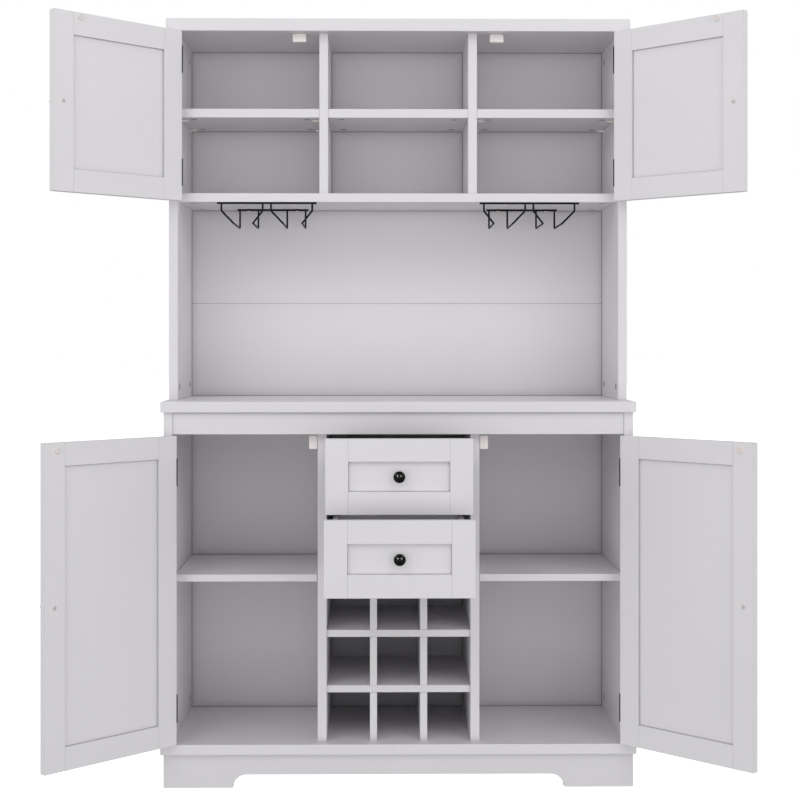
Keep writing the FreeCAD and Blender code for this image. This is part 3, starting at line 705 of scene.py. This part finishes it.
def turned(name: str, profile: Sequence[Pair], sides: int = 32, crease: float = 30.0,
           slot: Triple | None = None) -> Object:
    """Turns a round piece upwards about Z from a disc that is drawn out step by step.

    Args:
        name: The piece's name.
        profile: Radius and height of each step in millimetres.
        sides: Number of sides round the axis.
        crease: Angle in degrees past which an edge stays sharp.
        slot: The cross that is cut for a driver, if any, as cross_slot takes it.

    Returns:
        The closed piece.
    """
    pick()
    radius, height = profile[0]
    bpy.ops.mesh.primitive_circle_add(
        vertices=sides, radius=radius * MM, fill_type="NGON", location=(0, 0, height * MM))
    piece = bpy.context.object
    piece.name = piece.data.name = name
    bpy.ops.object.transform_apply(location=True, rotation=False, scale=False)
    draw_out([(radius, radius, height) for radius, height in profile])
    bpy.ops.object.mode_set(mode="OBJECT")
    bpy.ops.object.shade_smooth_by_angle(angle=math.radians(crease))
    if slot:
        cross_slot(piece, slot, profile[-1][1])
    return piece


def draw_out(steps: Sequence[Triple]) -> None:
    """Draws the active piece's face out along Z, step by step, and stays in edit mode.

    Args:
        steps: Length, depth and height of each step in millimetres, the face's own first.
    """
    bpy.ops.object.mode_set(mode="EDIT")
    bpy.ops.mesh.select_mode(type="FACE")
    bpy.ops.mesh.select_all(action="SELECT")
    for (length, depth, height), (next_length, next_depth, next_height) in zip(steps, steps[1:]):
        rise = (next_height - height) * MM
        bpy.ops.mesh.extrude_region_move(TRANSFORM_OT_translate={"value": (0, 0, rise)})
        bpy.ops.transform.resize(
            value=(next_length / length, next_depth / depth, 1),
            center_override=(0, 0, next_height * MM))
    bpy.ops.mesh.select_all(action="SELECT")
    bpy.ops.mesh.normals_make_consistent(inside=False)


def raised(name: str, steps: Sequence[Triple], sharp_below: float, rounding: float) -> Object:
    """Raises a square piece upwards along Z from a plate that is drawn out step by step.

    Args:
        name: The piece's name.
        steps: Length, depth and height of each step in millimetres, the first at no height.
        sharp_below: Height in millimetres below which edges stay sharp.
        rounding: Radius of the other edges in millimetres.

    Returns:
        The closed piece.
    """
    pick()
    length, depth, _ = steps[0]
    bpy.ops.mesh.primitive_plane_add(size=1)
    piece = bpy.context.object
    piece.name = piece.data.name = name
    piece.scale = (length * MM, depth * MM, 1)
    bpy.ops.object.transform_apply(location=False, rotation=False, scale=True)
    draw_out(steps)
    bpy.ops.mesh.select_mode(type="EDGE")
    bpy.ops.mesh.select_all(action="DESELECT")
    bpy.ops.object.mode_set(mode="OBJECT")
    points = piece.data.vertices
    for edge in piece.data.edges:
        ends = [points[index].co for index in edge.vertices]
        spread = max(abs(co.x) for co in ends)
        outer = spread > steps[-1][0] / 2 * MM - TOUCH
        edge.select = outer and min(co.z for co in ends) > sharp_below * MM - TOUCH
    bpy.ops.object.mode_set(mode="EDIT")
    bpy.ops.mesh.bevel(offset=rounding * MM, segments=3, affect="EDGES")
    bpy.ops.object.mode_set(mode="OBJECT")
    bpy.ops.object.shade_smooth_by_angle(angle=math.radians(40))
    return piece


def cross_slot(piece: Object, slot: Triple, top: float) -> None:
    """Cuts a cross for a driver into a piece's upper face.

    Args:
        piece: The piece.
        slot: Length of each pair of arms, their width and their depth in millimetres.
        top: Height of the face in millimetres.
    """
    length, width, depth = (size * MM for size in slot)
    for turn in (0.0, math.pi / 2):
        pick()
        bpy.ops.mesh.primitive_cube_add(
            size=1, location=(0, 0, top * MM), rotation=(0, 0, turn), scale=(length, width, 2 * depth))
        cutter = bpy.context.object
        pick(piece)
        cut = piece.modifiers.new("slot", "BOOLEAN")
        cut.operation = "DIFFERENCE"
        cut.solver = "EXACT"
        cut.object = cutter
        bpy.ops.object.modifier_apply(modifier=cut.name)
        bpy.data.objects.remove(cutter)


def copies(name: str, master: Object, places: Sequence[Matrix]) -> Object:
    """Copies a master to each place and joins the copies into one piece.

    Args:
        name: The joined piece's name.
        master: The piece that is repeated.
        places: Where the copies go.

    Returns:
        The joined piece, at the origin.
    """
    made = []
    for place in places:
        pick(master)
        bpy.ops.object.duplicate(linked=False)
        copy = bpy.context.object
        copy.matrix_world = place
        bpy.ops.object.transform_apply(location=True, rotation=True, scale=True)
        made.append(copy)
    pick(*made)
    if len(made) > 1:
        bpy.ops.object.join()
    piece = bpy.context.object
    piece.name = piece.data.name = name
    return piece


def dome(rim: float, low: float, high: float, steps: int, last: float = 0.06) -> list[Pair]:
    """Profile of a rounded crown.

    Args:
        rim: Radius at its foot in millimetres.
        low: Height of its foot.
        high: Height of its top.
        steps: Number of steps.
        last: Share of the rim's radius at which the crown is closed.

    Returns:
        Radius and height of each step after the foot.
    """
    turn = math.acos(last)
    angles = [turn * step / steps for step in range(1, steps + 1)]
    return [(rim * math.cos(a), low + (high - low) * math.sin(a) / math.sin(turn)) for a in angles]


@dataclass(frozen=True)
class Masters:
    """The small fittings that repeat, each modelled once, its face upwards at the origin."""

    cam_radius: float = 7.5
    cam_depth: float = 12.5
    pin_radius: float = 2.5
    pin_hole: float = 8.0
    pin_reach: float = 16.5
    leaf_end: Triple = (2.05, 57.0, 1.2)
    leaf_end_round: float = 0.1
    strike_radius: float = 6.5
    strike_thick: float = 2.5
    knob_radius: float = 12.0
    knob_depth: float = 23.0
    knob_bore: float = 2.05
    screw_head: float = 4.2
    screw_crown: float = 1.5
    catch_length: float = 29.4
    catch_depth: float = 14.0
    catch_reach: float = 18.3
    catch_round: float = 1.3
    catch_foot: float = 1.0
    catch_foot_inset: float = 3.0

    @cached_property
    def cam(self) -> Object:
        """A cam lock: a disc with a chamfered rim, a ring groove and a cross slot."""
        r = self.cam_radius
        return turned("cam_master", [
            (r - 0.4, -self.cam_depth), (r, 0.4 - self.cam_depth), (r, -0.5), (r - 0.5, 0),
            (r - 1.3, 0), (r - 1.3, -0.4), (r - 1.9, -0.4), (r - 1.9, 0), (r - 3.2, 0)],
            slot=(8.4, 1.6, 2.6))

    @cached_property
    def hinge_screw(self) -> Object:
        """A countersunk screw in a hinge leaf, its head all but flush."""
        return turned("hinge_screw_master", [
            (0.5, -13), (1.3, -11.5), (1.3, -1.6), (2.7, -0.2), (2.7, 0.02), (2.45, 0.12)], 20,
            slot=(3.0, 0.65, 0.9))

    @cached_property
    def hinge_end(self) -> Object:
        """The end of a hinge leaf, turned over onto the edge of the door's inner face."""
        width, length, thick = self.leaf_end
        return raised("hinge_end_master", [
            (width, length, 0.0), (width, length, thick)], 0.0, self.leaf_end_round)

    @cache
    def pan_screw(self, shank: float) -> Object:
        """A screw with a domed head that stands on the face it holds.

        Args:
            shank: Length of the shank in millimetres.

        Returns:
            The master.
        """
        head, crown = self.screw_head, self.screw_crown
        return turned("pan_screw_master", [
            (1.2, -shank), (2.0, 1.2 - shank), (2.0, 0), (head, 0), (head, 0.45)]
            + dome(head, 0.45, crown, 5, 0.3), 24, slot=(head, 0.9, 1.0))

    @cached_property
    def strike(self) -> Object:
        """A strike disc with a rounded rim and a sunk screw."""
        r, top = self.strike_radius, self.strike_thick
        return turned("strike_master", [
            (r, 0), (r, top - 0.8), (r - 0.25, top - 0.3), (r - 0.8, top), (r - 1.5, top),
            (r - 1.7, top - 0.3), (2.9, top - 0.3), (2.6, top - 0.7), (2.3, top - 0.7),
            (2.1, top - 0.35), (1.0, top - 0.2)], slot=(2.6, 0.55, 0.5))

    @cached_property
    def catch(self) -> Object:
        """A magnetic catch: a rounded housing that stands off its seat on a smaller foot."""
        housing = (self.catch_length, self.catch_depth)
        foot = tuple(size - 2 * self.catch_foot_inset for size in housing)
        return raised("catch_master", [
            (*foot, 0.0), (*foot, self.catch_foot), (*housing, self.catch_foot),
            (*housing, self.catch_reach)], self.catch_foot, self.catch_round)

    @cached_property
    def shelf_pin(self) -> Object:
        """A shelf pin: a peg with a ring groove at the wall and a domed end."""
        r, reach = self.pin_radius, self.pin_reach
        return turned("shelf_pin_master", [
            (r - 0.4, -self.pin_hole), (r - 0.1, 0.5 - self.pin_hole), (r - 0.1, -0.1), (r, 0),
            (r, 0.9), (r - 0.35, 1.1), (r - 0.35, 1.5), (r, 1.7), (r, reach - 1.2)]
            + dome(r, reach - 1.2, reach, 5, 0.15), 20)

    @cached_property
    def knob(self) -> Object:
        """A turned knob: foot, waist, a ringed rim and a domed face, bored for its screw."""
        r, d = self.knob_radius, self.knob_depth
        shares = (
            (0.6, 0), (0.655, 0.02), (0.67, 0.05), (0.66, 0.10), (0.60, 0.13), (0.48, 0.17),
            (0.415, 0.23), (0.40, 0.32), (0.41, 0.41), (0.46, 0.475), (0.60, 0.53), (0.80, 0.575),
            (0.93, 0.61), (0.985, 0.64), (1.0, 0.67), (0.985, 0.705), (0.93, 0.75), (0.84, 0.79),
            (0.79, 0.80), (0.77, 0.785), (0.745, 0.785), (0.725, 0.81))
        steps = [(across * r, up * d) for across, up in shares]
        bore = [(self.knob_bore, 0.68 * d), (self.knob_bore, 0)]
        return turned("knob_master", bore + steps + dome(*steps[-1], d, 9), 48, 50.0)

    @staticmethod
    def clear() -> None:
        """Takes the masters away once their copies stand."""
        for master in [piece for piece in bpy.data.objects if "_master" in piece.name]:
            bpy.data.objects.remove(master)


MASTERS = Masters()


def fit(name: str, master: Object, places: Sequence[Matrix], body: str, finish: Finish,
        *nodes: str) -> None:
    """Copies a master to its places as one piece and sets the piece on its body.

    Args:
        name: The piece's name.
        master: The fitting that it repeats.
        places: Where the copies go.
        body: The body that it moves with.
        finish: Its finish.
        nodes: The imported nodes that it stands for, if any.
    """
    piece = copies(name, master, places)
    coat(piece, finish)
    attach(piece, body)
    if nodes:
        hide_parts(*nodes)
    log.info("piece %s rides on %s", piece.name, body)


# Sub-assemblies


@dataclass
class Carcass:
    """The base: plinth, boards, shelves, deck and the counter."""

    plinth: tuple[str, ...] = ("plinth_front", "plinth_ends", "plinth_back")
    boards: tuple[str, ...] = (
        "base_bottom_panel", "base_side_left", "base_side_right", "base_dividers", "base_shelves",
        "drawer_deck", "countertop", "rack_shelves", "rack_uprights")
    rail: str = "base_top_rail"
    back: str = "base_back_panel"

    def dress(self) -> None:
        """Paints the plinth, boards, rail and back panel, with painted shade on the plinth, rail and
        back.
        """
        for board in self.plinth:
            coat_board(board, paint=PLINTH_SHADED_PAINT)
        for board in self.boards:
            coat_board(board)
        coat_board(self.rail, paint=RAIL_PAINT)
        coat_node(self.back, BASE_BACK_PAINT)


@dataclass
class Hutch:
    """The upper part: sides, top, dividers, shelves and its two back panels."""

    boards: tuple[str, ...] = (
        "hutch_side_left", "hutch_side_right", "hutch_bottom_board", "hutch_dividers",
        "hutch_shelves", "hutch_top_board")
    back: str = "hutch_back_panels"

    def dress(self) -> None:
        """Paints the boards, and the back panels with painted shade towards the boards and along the
        seam.
        """
        for board in self.boards:
            coat_board(board)
        coat_node(self.back, HUTCH_BACK_PAINT)


@dataclass
class GlassRack:
    """A wire rack for stemmed glasses under the hutch."""

    hand: Hand

    def dress(self) -> None:
        """Coats the welded wires."""
        coat_node(f"glass_rack_{self.hand.word}", WIRE_BLACK)


@dataclass
class Door:
    """A framed door with its knob, screw, strike disc and hinge leaves.

    Places are in millimetres in the shut door's own axes: from the hinge pin towards the free
    edge, from the pin's plane into the cabinet, and up from the floor.
    """

    storey: str
    hand: Hand
    pin_y: float
    low: float
    high: float
    strike_x: float
    strike_z: float
    hinge_inset: float
    pin_x: float = 475.0
    open_angle: float = 134.7
    outer_face: float = 1.0
    inner_face: float = 17.0
    knob_x: float = 301.0
    leaf_face: float = 0.25
    leaf_middle: float = 10.2
    leaf_end_middle: float = 1.275
    leaf_screws: tuple[float, ...] = (-21.0, 0.0, 21.0)
    frame_width: float = 46.8
    hinge_edge: float = 1.75
    knob_shank: float = 29.8
    knob_screw_turn: float = 24.0
    strike_turn: float = 37.0
    leaf_screw_turn: float = 31.0
    fixed_screw_turn: float = 43.0

    @property
    def name(self) -> str:
        """The body's name."""
        return f"{self.storey}_{self.hand.word}_door"

    def paint(self, part: str, **shades: float) -> DoorPaint:
        """The paint of a part of this storey's doors.

        Args:
            part: The part's name.
            shades: How much painted shade it takes in each corner of the recess.

        Returns:
            The paint.
        """
        return DoorPaint(
            f"grey_{self.storey}_{part}", DOOR_LIGHTENED_TINT, PAINT.roughness, pin_x=self.pin_x * MM,
            pin_y=self.pin_y * MM, open_angle=self.open_angle,
            wall=(self.hinge_edge + self.frame_width) * MM,
            opening=((self.low + self.frame_width) * MM, (self.high - self.frame_width) * MM), **shades)

    @property
    def hang(self) -> Matrix:
        """Takes the shut door's axes to the open door's place."""
        pin = Vector((self.hand.value * self.pin_x, self.pin_y, 0)) * MM
        turn = math.radians(self.hand.value * self.open_angle)
        return Matrix.Translation(pin) @ Matrix.Rotation(turn, 4, "Z")

    @property
    def hinge_heights(self) -> Pair:
        """Heights of the two hinges' middles."""
        return self.low + self.hinge_inset, self.high - self.hinge_inset

    def screw_spots(self, turn: float) -> list[Pair]:
        """Height of each hinge screw and the turn of its slot, each turned on from the last."""
        return [(height + shift, turn * index) for height in self.hinge_heights
                for index, shift in enumerate(self.leaf_screws)]

    def inward(self, reach: float) -> float:
        """X of a place that lies this far from the pin towards the free edge."""
        return -self.hand.value * reach

    def dress(self) -> None:
        """Paints the frame and panel with painted shade in the recess, and coats the hinge leaves."""
        coat_board(f"{self.name}_frame", paint=self.paint("frame", wall_shade=0.22))
        recessed = self.paint("panel", panel_shade=0.14, rail_shade=0.22)
        coat_board(f"{self.name}_panel", PANEL_ARRIS, recessed)
        coat_node(f"{self.name}_hinge_leaves", HINGE_BLACK)

    def build(self) -> None:
        """Fits the knob, its screw, the strike disc, the hinge screws and the leaves' ends."""
        knob_x, knob_z = self.inward(self.knob_x), (self.low + self.high) / 2
        strike_x, end_x = self.inward(self.strike_x), self.inward(self.leaf_end_middle)
        leaf_x, outward = self.inward(self.leaf_face), Facing.across(self.hand.value)
        inside, rear = self.inner_face, Facing.REAR
        fittings = (
            ("knob_turned", MASTERS.knob, KNOB_BRONZE,
             [Facing.FRONT.at(knob_x, self.outer_face, knob_z)], "knob"),
            ("knob_screw", MASTERS.pan_screw(self.knob_shank), SCREW_NICKEL,
             [rear.at(knob_x, inside, knob_z, self.knob_screw_turn)]),
            ("strike_disc", MASTERS.strike, STRIKE_IVORY,
             [rear.at(strike_x, inside, self.strike_z, self.strike_turn)], "strike"),
            ("hinge_screws", MASTERS.hinge_screw, HINGE_BLACK,
             [outward.at(leaf_x, self.leaf_middle, *spot)
              for spot in self.screw_spots(self.leaf_screw_turn)]),
            ("hinge_ends", MASTERS.hinge_end, HINGE_BLACK,
             [rear.at(end_x, inside, height) for height in self.hinge_heights]))
        for word, master, finish, places, *nodes in fittings:
            fit(f"{self.name}_{word}", master, [self.hang @ place for place in places], self.name,
                finish, *(f"{self.name}_{node}" for node in nodes))

    def fixed_leaf_places(self) -> list[Matrix]:
        """Where the screws of this door's fixed leaves stand on the cabinet's side.

        Returns:
            One matrix for each screw.
        """
        inward, spots = Facing.across(-self.hand.value), self.screw_spots(self.fixed_screw_turn)
        x, y = self.hand.value * (self.pin_x + self.leaf_face), self.pin_y + self.leaf_middle
        return [inward.at(x, y, *spot) for spot in spots]


@dataclass
class Drawer:
    """A drawer: framed front, box on runners, knob and screw."""

    storey: str
    front: float
    middle: float
    panel_seat: float = 8.0
    box_inside: float = 28.0
    knob_shank: float = 33.8
    knob_screw_turn: float = 18.0

    @property
    def name(self) -> str:
        """The body's name."""
        return f"{self.storey}_drawer"

    def dress(self) -> None:
        """Paints the wood and plates the slides."""
        coat_board(f"{self.name}_front_frame")
        coat_board(f"{self.name}_box", BOX_ARRIS)
        coat_board(f"{self.name}_front_panel", PANEL_ARRIS)
        coat_node(f"{self.name}_bottom", BOTTOM_PAINT)
        coat_node(f"{self.name}_slides", ZINC)

    def build(self) -> None:
        """Fits the knob on the panel and its screw inside the box."""
        seat = Facing.FRONT.at(0, self.front + self.panel_seat, self.middle)
        fit(f"{self.name}_knob_turned", MASTERS.knob, [seat], self.name, KNOB_BRONZE, f"{self.name}_knob")
        inside = Facing.REAR.at(0, self.front + self.box_inside, self.middle, self.knob_screw_turn)
        screw = MASTERS.pan_screw(self.knob_shank)
        fit(f"{self.name}_knob_screw", screw, [inside], self.name, SCREW_NICKEL)


@dataclass
class Fittings:
    """Cam locks, shelf pins, catches, runners and the hinges' fixed leaves."""

    side_in: float = 475.0
    divider_out: float = 171.0
    divider_in: float = 152.0
    cam_from_end: float = 28.0
    joint_line: float = 0.3
    hutch_rows: Pair = (-192.5, -31.5)
    base_side_rows: Pair = (-296.5, -31.5)
    hutch_side_rows: Pair = (-210.5, -31.5)
    base_side_ends: Pair = (120.5, 760.5)
    hutch_side_ends: Pair = (839.5, 1578.0)
    hutch_low: float = 1240.0
    shelf_low: float = 1423.0
    base_pin_rows: Pair = (-260.5, -42.5)
    base_pin_height: float = 427.0
    hutch_pin_height: float = 1420.5
    slot_step: float = 47.0
    lower_catch: Pair = (-304.0, 724.6)
    upper_catch: Pair = (214.2, -218.0)
    hutch_top_low: float = 1606.0

    def dress(self) -> None:
        """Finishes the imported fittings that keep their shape."""
        coat_node("drawer_channels", ZINC)
        coat_node("hinge_fixed_leaves", HINGE_BLACK)

    def cam_places(self) -> list[Matrix]:
        """Where the cam locks sit in the hutch boards and in the sides.

        Returns:
            One matrix for each lock.
        """
        inset = self.cam_from_end + self.joint_line
        shelf_ends = (self.side_in - inset, self.divider_out + inset, self.divider_in - inset)
        board_ends = (self.side_in - self.cam_from_end,)
        spots = [
            (Facing.DOWN, hand.value * end, y, low)
            for low, ends in ((self.hutch_low, board_ends), (self.shelf_low, shelf_ends))
            for end in ends for hand in Hand for y in self.hutch_rows]
        spots += [
            (Facing.across(-hand.value), hand.value * self.side_in, y, z)
            for rows, ends in (
                (self.base_side_rows, self.base_side_ends), (self.hutch_side_rows, self.hutch_side_ends))
            for hand in Hand for y in rows for z in ends]
        return [
            facing.at(x, y, z, self.slot_step * index) for index, (facing, x, y, z) in enumerate(spots)]

    def pin_places(self) -> list[Matrix]:
        """Where the shelf pins stand in the walls.

        Returns:
            One matrix for each pin.
        """
        rows = ((self.base_pin_height, self.base_pin_rows), (self.hutch_pin_height, self.hutch_rows))
        walls = ((self.side_in, -1), (self.divider_out, 1))
        return [
            Facing.across(hand.value * way).at(hand.value * wall, y, z)
            for z, ys in rows for y in ys for hand in Hand for wall, way in walls]

    def catch_places(self) -> list[Matrix]:
        """Where the catches sit: upright on the base dividers and flat under the hutch top.

        Returns:
            One matrix for each catch.
        """
        depth, height = self.lower_catch
        reach, row = self.upper_catch
        lower = [
            Facing.across(hand.value).at(hand.value * self.divider_out, depth, height) for hand in Hand]
        upper = [Facing.DOWN.at(hand.value * reach, row, self.hutch_top_low) for hand in Hand]
        return lower + upper

    def build(self, doors: Sequence[Door]) -> None:
        """Fits the cam locks, shelf pins, catches and the fixed leaves' screws.

        Args:
            doors: The doors whose hinges are screwed to the sides.
        """
        screws = [place for door in doors for place in door.fixed_leaf_places()]
        for name, master, places, finish, *nodes in (
                ("cam_locks_slotted", MASTERS.cam, self.cam_places(), CAM_ZINC, "cam_locks"),
                ("shelf_pins_turned", MASTERS.shelf_pin, self.pin_places(), PIN_NICKEL, "shelf_pins"),
                ("magnetic_catches_moulded", MASTERS.catch, self.catch_places(), CATCH_IVORY,
                 "magnetic_catches"),
                ("fixed_leaf_screws", MASTERS.hinge_screw, screws, HINGE_BLACK)):
            fit(name, master, places, "carcass", finish, *nodes)


@dataclass(frozen=True)
class Lamp:
    """A square lamp on the right of the camera, with its twin on the left. Metres and watts."""

    name: str
    place: Triple
    aim: Triple
    size: float
    power: float

    def stand(self, hand: Hand, only: Collection | None = None) -> None:
        """Stands the lamp on one side, turned to the cabinet.

        Args:
            hand: The side.
            only: The pieces that mirror it, where it does not light them all.
        """
        lamp = bpy.data.lights.new(f"{self.name}_{hand.word}", "AREA")
        lamp.size = self.size
        lamp.energy = self.power
        stand = bpy.data.objects.new(lamp.name, lamp)
        stand.location = (hand.value * self.place[0], *self.place[1:])
        aim = Vector(self.aim) - stand.location
        stand.rotation_euler = aim.to_track_quat("-Z", "Y").to_euler()
        stand.light_linking.receiver_collection = only
        stand.visible_diffuse = only is None
        bpy.context.collection.objects.link(stand)


@dataclass
class Studio:
    """Camera, pale floor and soft light."""

    lens: float = 70.265
    camera_shift: float = -0.07645
    camera_place: Triple = (-0.034, -3.6139, 0.9433)
    camera_turn: Triple = (math.pi / 2, 0.0, -0.0112)
    floor_size: float = 60.0
    sky: float = 0.592
    sky_below: float = 0.28
    front_fill: float = 0.80
    fill_depth: float = 0.42
    lamps: tuple[Lamp, ...] = (
        Lamp("softbox", (1.75, -3.6, 2.3), (0.0, -0.3, 0.75), 2.4, 5.6),
        Lamp("toplight", (1.6, -2.4, 2.9), (0.0, -0.2, 1.0), 1.6, 14.2))
    sparkle: Lamp = Lamp("sparkle", (1.75, -3.6, 1.8), (0.0, -0.3, 0.75), 1.0, 360.0)

    def build(self) -> None:
        """Sets up the studio."""
        self._camera()
        self._floor()
        self._sky()
        for lamp in self.lamps:
            for hand in Hand:
                lamp.stand(hand)
        bpy.context.scene.view_settings.view_transform = "Standard"
        log.info("studio set up")

    def light_knobs(self) -> None:
        """Adds the lamps whose reflections show on the knobs alone."""
        knobs = bpy.data.collections.new("knobs_in_light")
        for piece in bpy.data.objects:
            if piece.name.endswith("_knob_turned"):
                knobs.objects.link(piece)
        for hand in Hand:
            self.sparkle.stand(hand, knobs)

    def _camera(self) -> None:
        """Stands the camera at the photograph's viewpoint."""
        lens = bpy.data.cameras.new("studio_camera")
        lens.lens = self.lens
        lens.sensor_width = 36.0
        lens.shift_y = self.camera_shift
        camera = bpy.data.objects.new("studio_camera", lens)
        camera.location = self.camera_place
        camera.rotation_euler = self.camera_turn
        bpy.context.collection.objects.link(camera)
        bpy.context.scene.camera = camera

    def _floor(self) -> None:
        """Lays a plain white floor that sends no light back."""
        pick()
        bpy.ops.mesh.primitive_plane_add(size=self.floor_size)
        floor = bpy.context.object
        floor.name = floor.data.name = "studio_floor"
        recipe = Recipe("studio_white")
        floor.data.materials.append(recipe.finish(
            Base_Color=(0.6, 0.6, 0.6, 1.0), Roughness=0.9, Specular_IOR_Level=0.0,
            Emission_Color=WHITE_LIGHT, Emission_Strength=1.0))
        floor.visible_diffuse = floor.visible_glossy = floor.visible_shadow = False

    def _sky(self) -> None:
        """Surrounds the studio with white light, with a low fill from the front."""
        world = bpy.data.worlds.new("studio_sky")
        world.use_nodes = True
        nodes = Nodes(world.node_tree)
        depth, height = nodes.axis("Y", "Generated"), nodes.axis("Z", "Generated")
        not_down = height > -self.fill_depth
        strength = (
            self.sky_below + (self.sky - self.sky_below) * not_down
            + self.front_fill * ((depth < 0.0) * (not_down * (height < 0.0))))
        glow = nodes.node("ShaderNodeBackground", {}, {"Color": WHITE_LIGHT, "Strength": strength})
        white = nodes.node("ShaderNodeBackground", {}, {"Color": WHITE_LIGHT, "Strength": 1.0})
        seen = nodes.node("ShaderNodeLightPath", {}, {}, "Is Camera Ray")
        mix = nodes.node("ShaderNodeMixShader", {}, {0: seen, 1: glow, 2: white})
        feed(nodes.tree, nodes.tree.nodes["World Output"].inputs[0], mix)
        bpy.context.scene.world = world


def all_doors() -> list[Door]:
    """Sizes the four doors.

    Returns:
        The doors, lower ones first.
    """
    lower = dict(storey="lower", pin_y=-331.5, low=94.0, high=740.2, strike_x=293.0,
                 strike_z=724.2, hinge_inset=76.0)
    upper = dict(storey="upper", pin_y=-245.5, low=1239.7, high=1604.5, strike_x=260.8,
                 strike_z=1596.5, hinge_inset=61.2)
    return [Door(hand=hand, **sizes) for sizes in (lower, upper) for hand in Hand]


def main() -> None:
    """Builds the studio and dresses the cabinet."""
    studio = Studio()
    studio.build()
    doors = all_doors()
    drawers = [
        Drawer("lower", front=-534.5, middle=508.0), Drawer("upper", front=-455.5, middle=664.0)]
    fittings = Fittings()
    for part in (Carcass(), Hutch(), *(GlassRack(hand) for hand in Hand), *doors, *drawers, fittings):
        part.dress()
    for part in (*doors, *drawers):
        part.build()
    fittings.build(doors)
    MASTERS.clear()
    studio.light_knobs()
    log.info("size written")


if __name__ == "__main__":
    main()
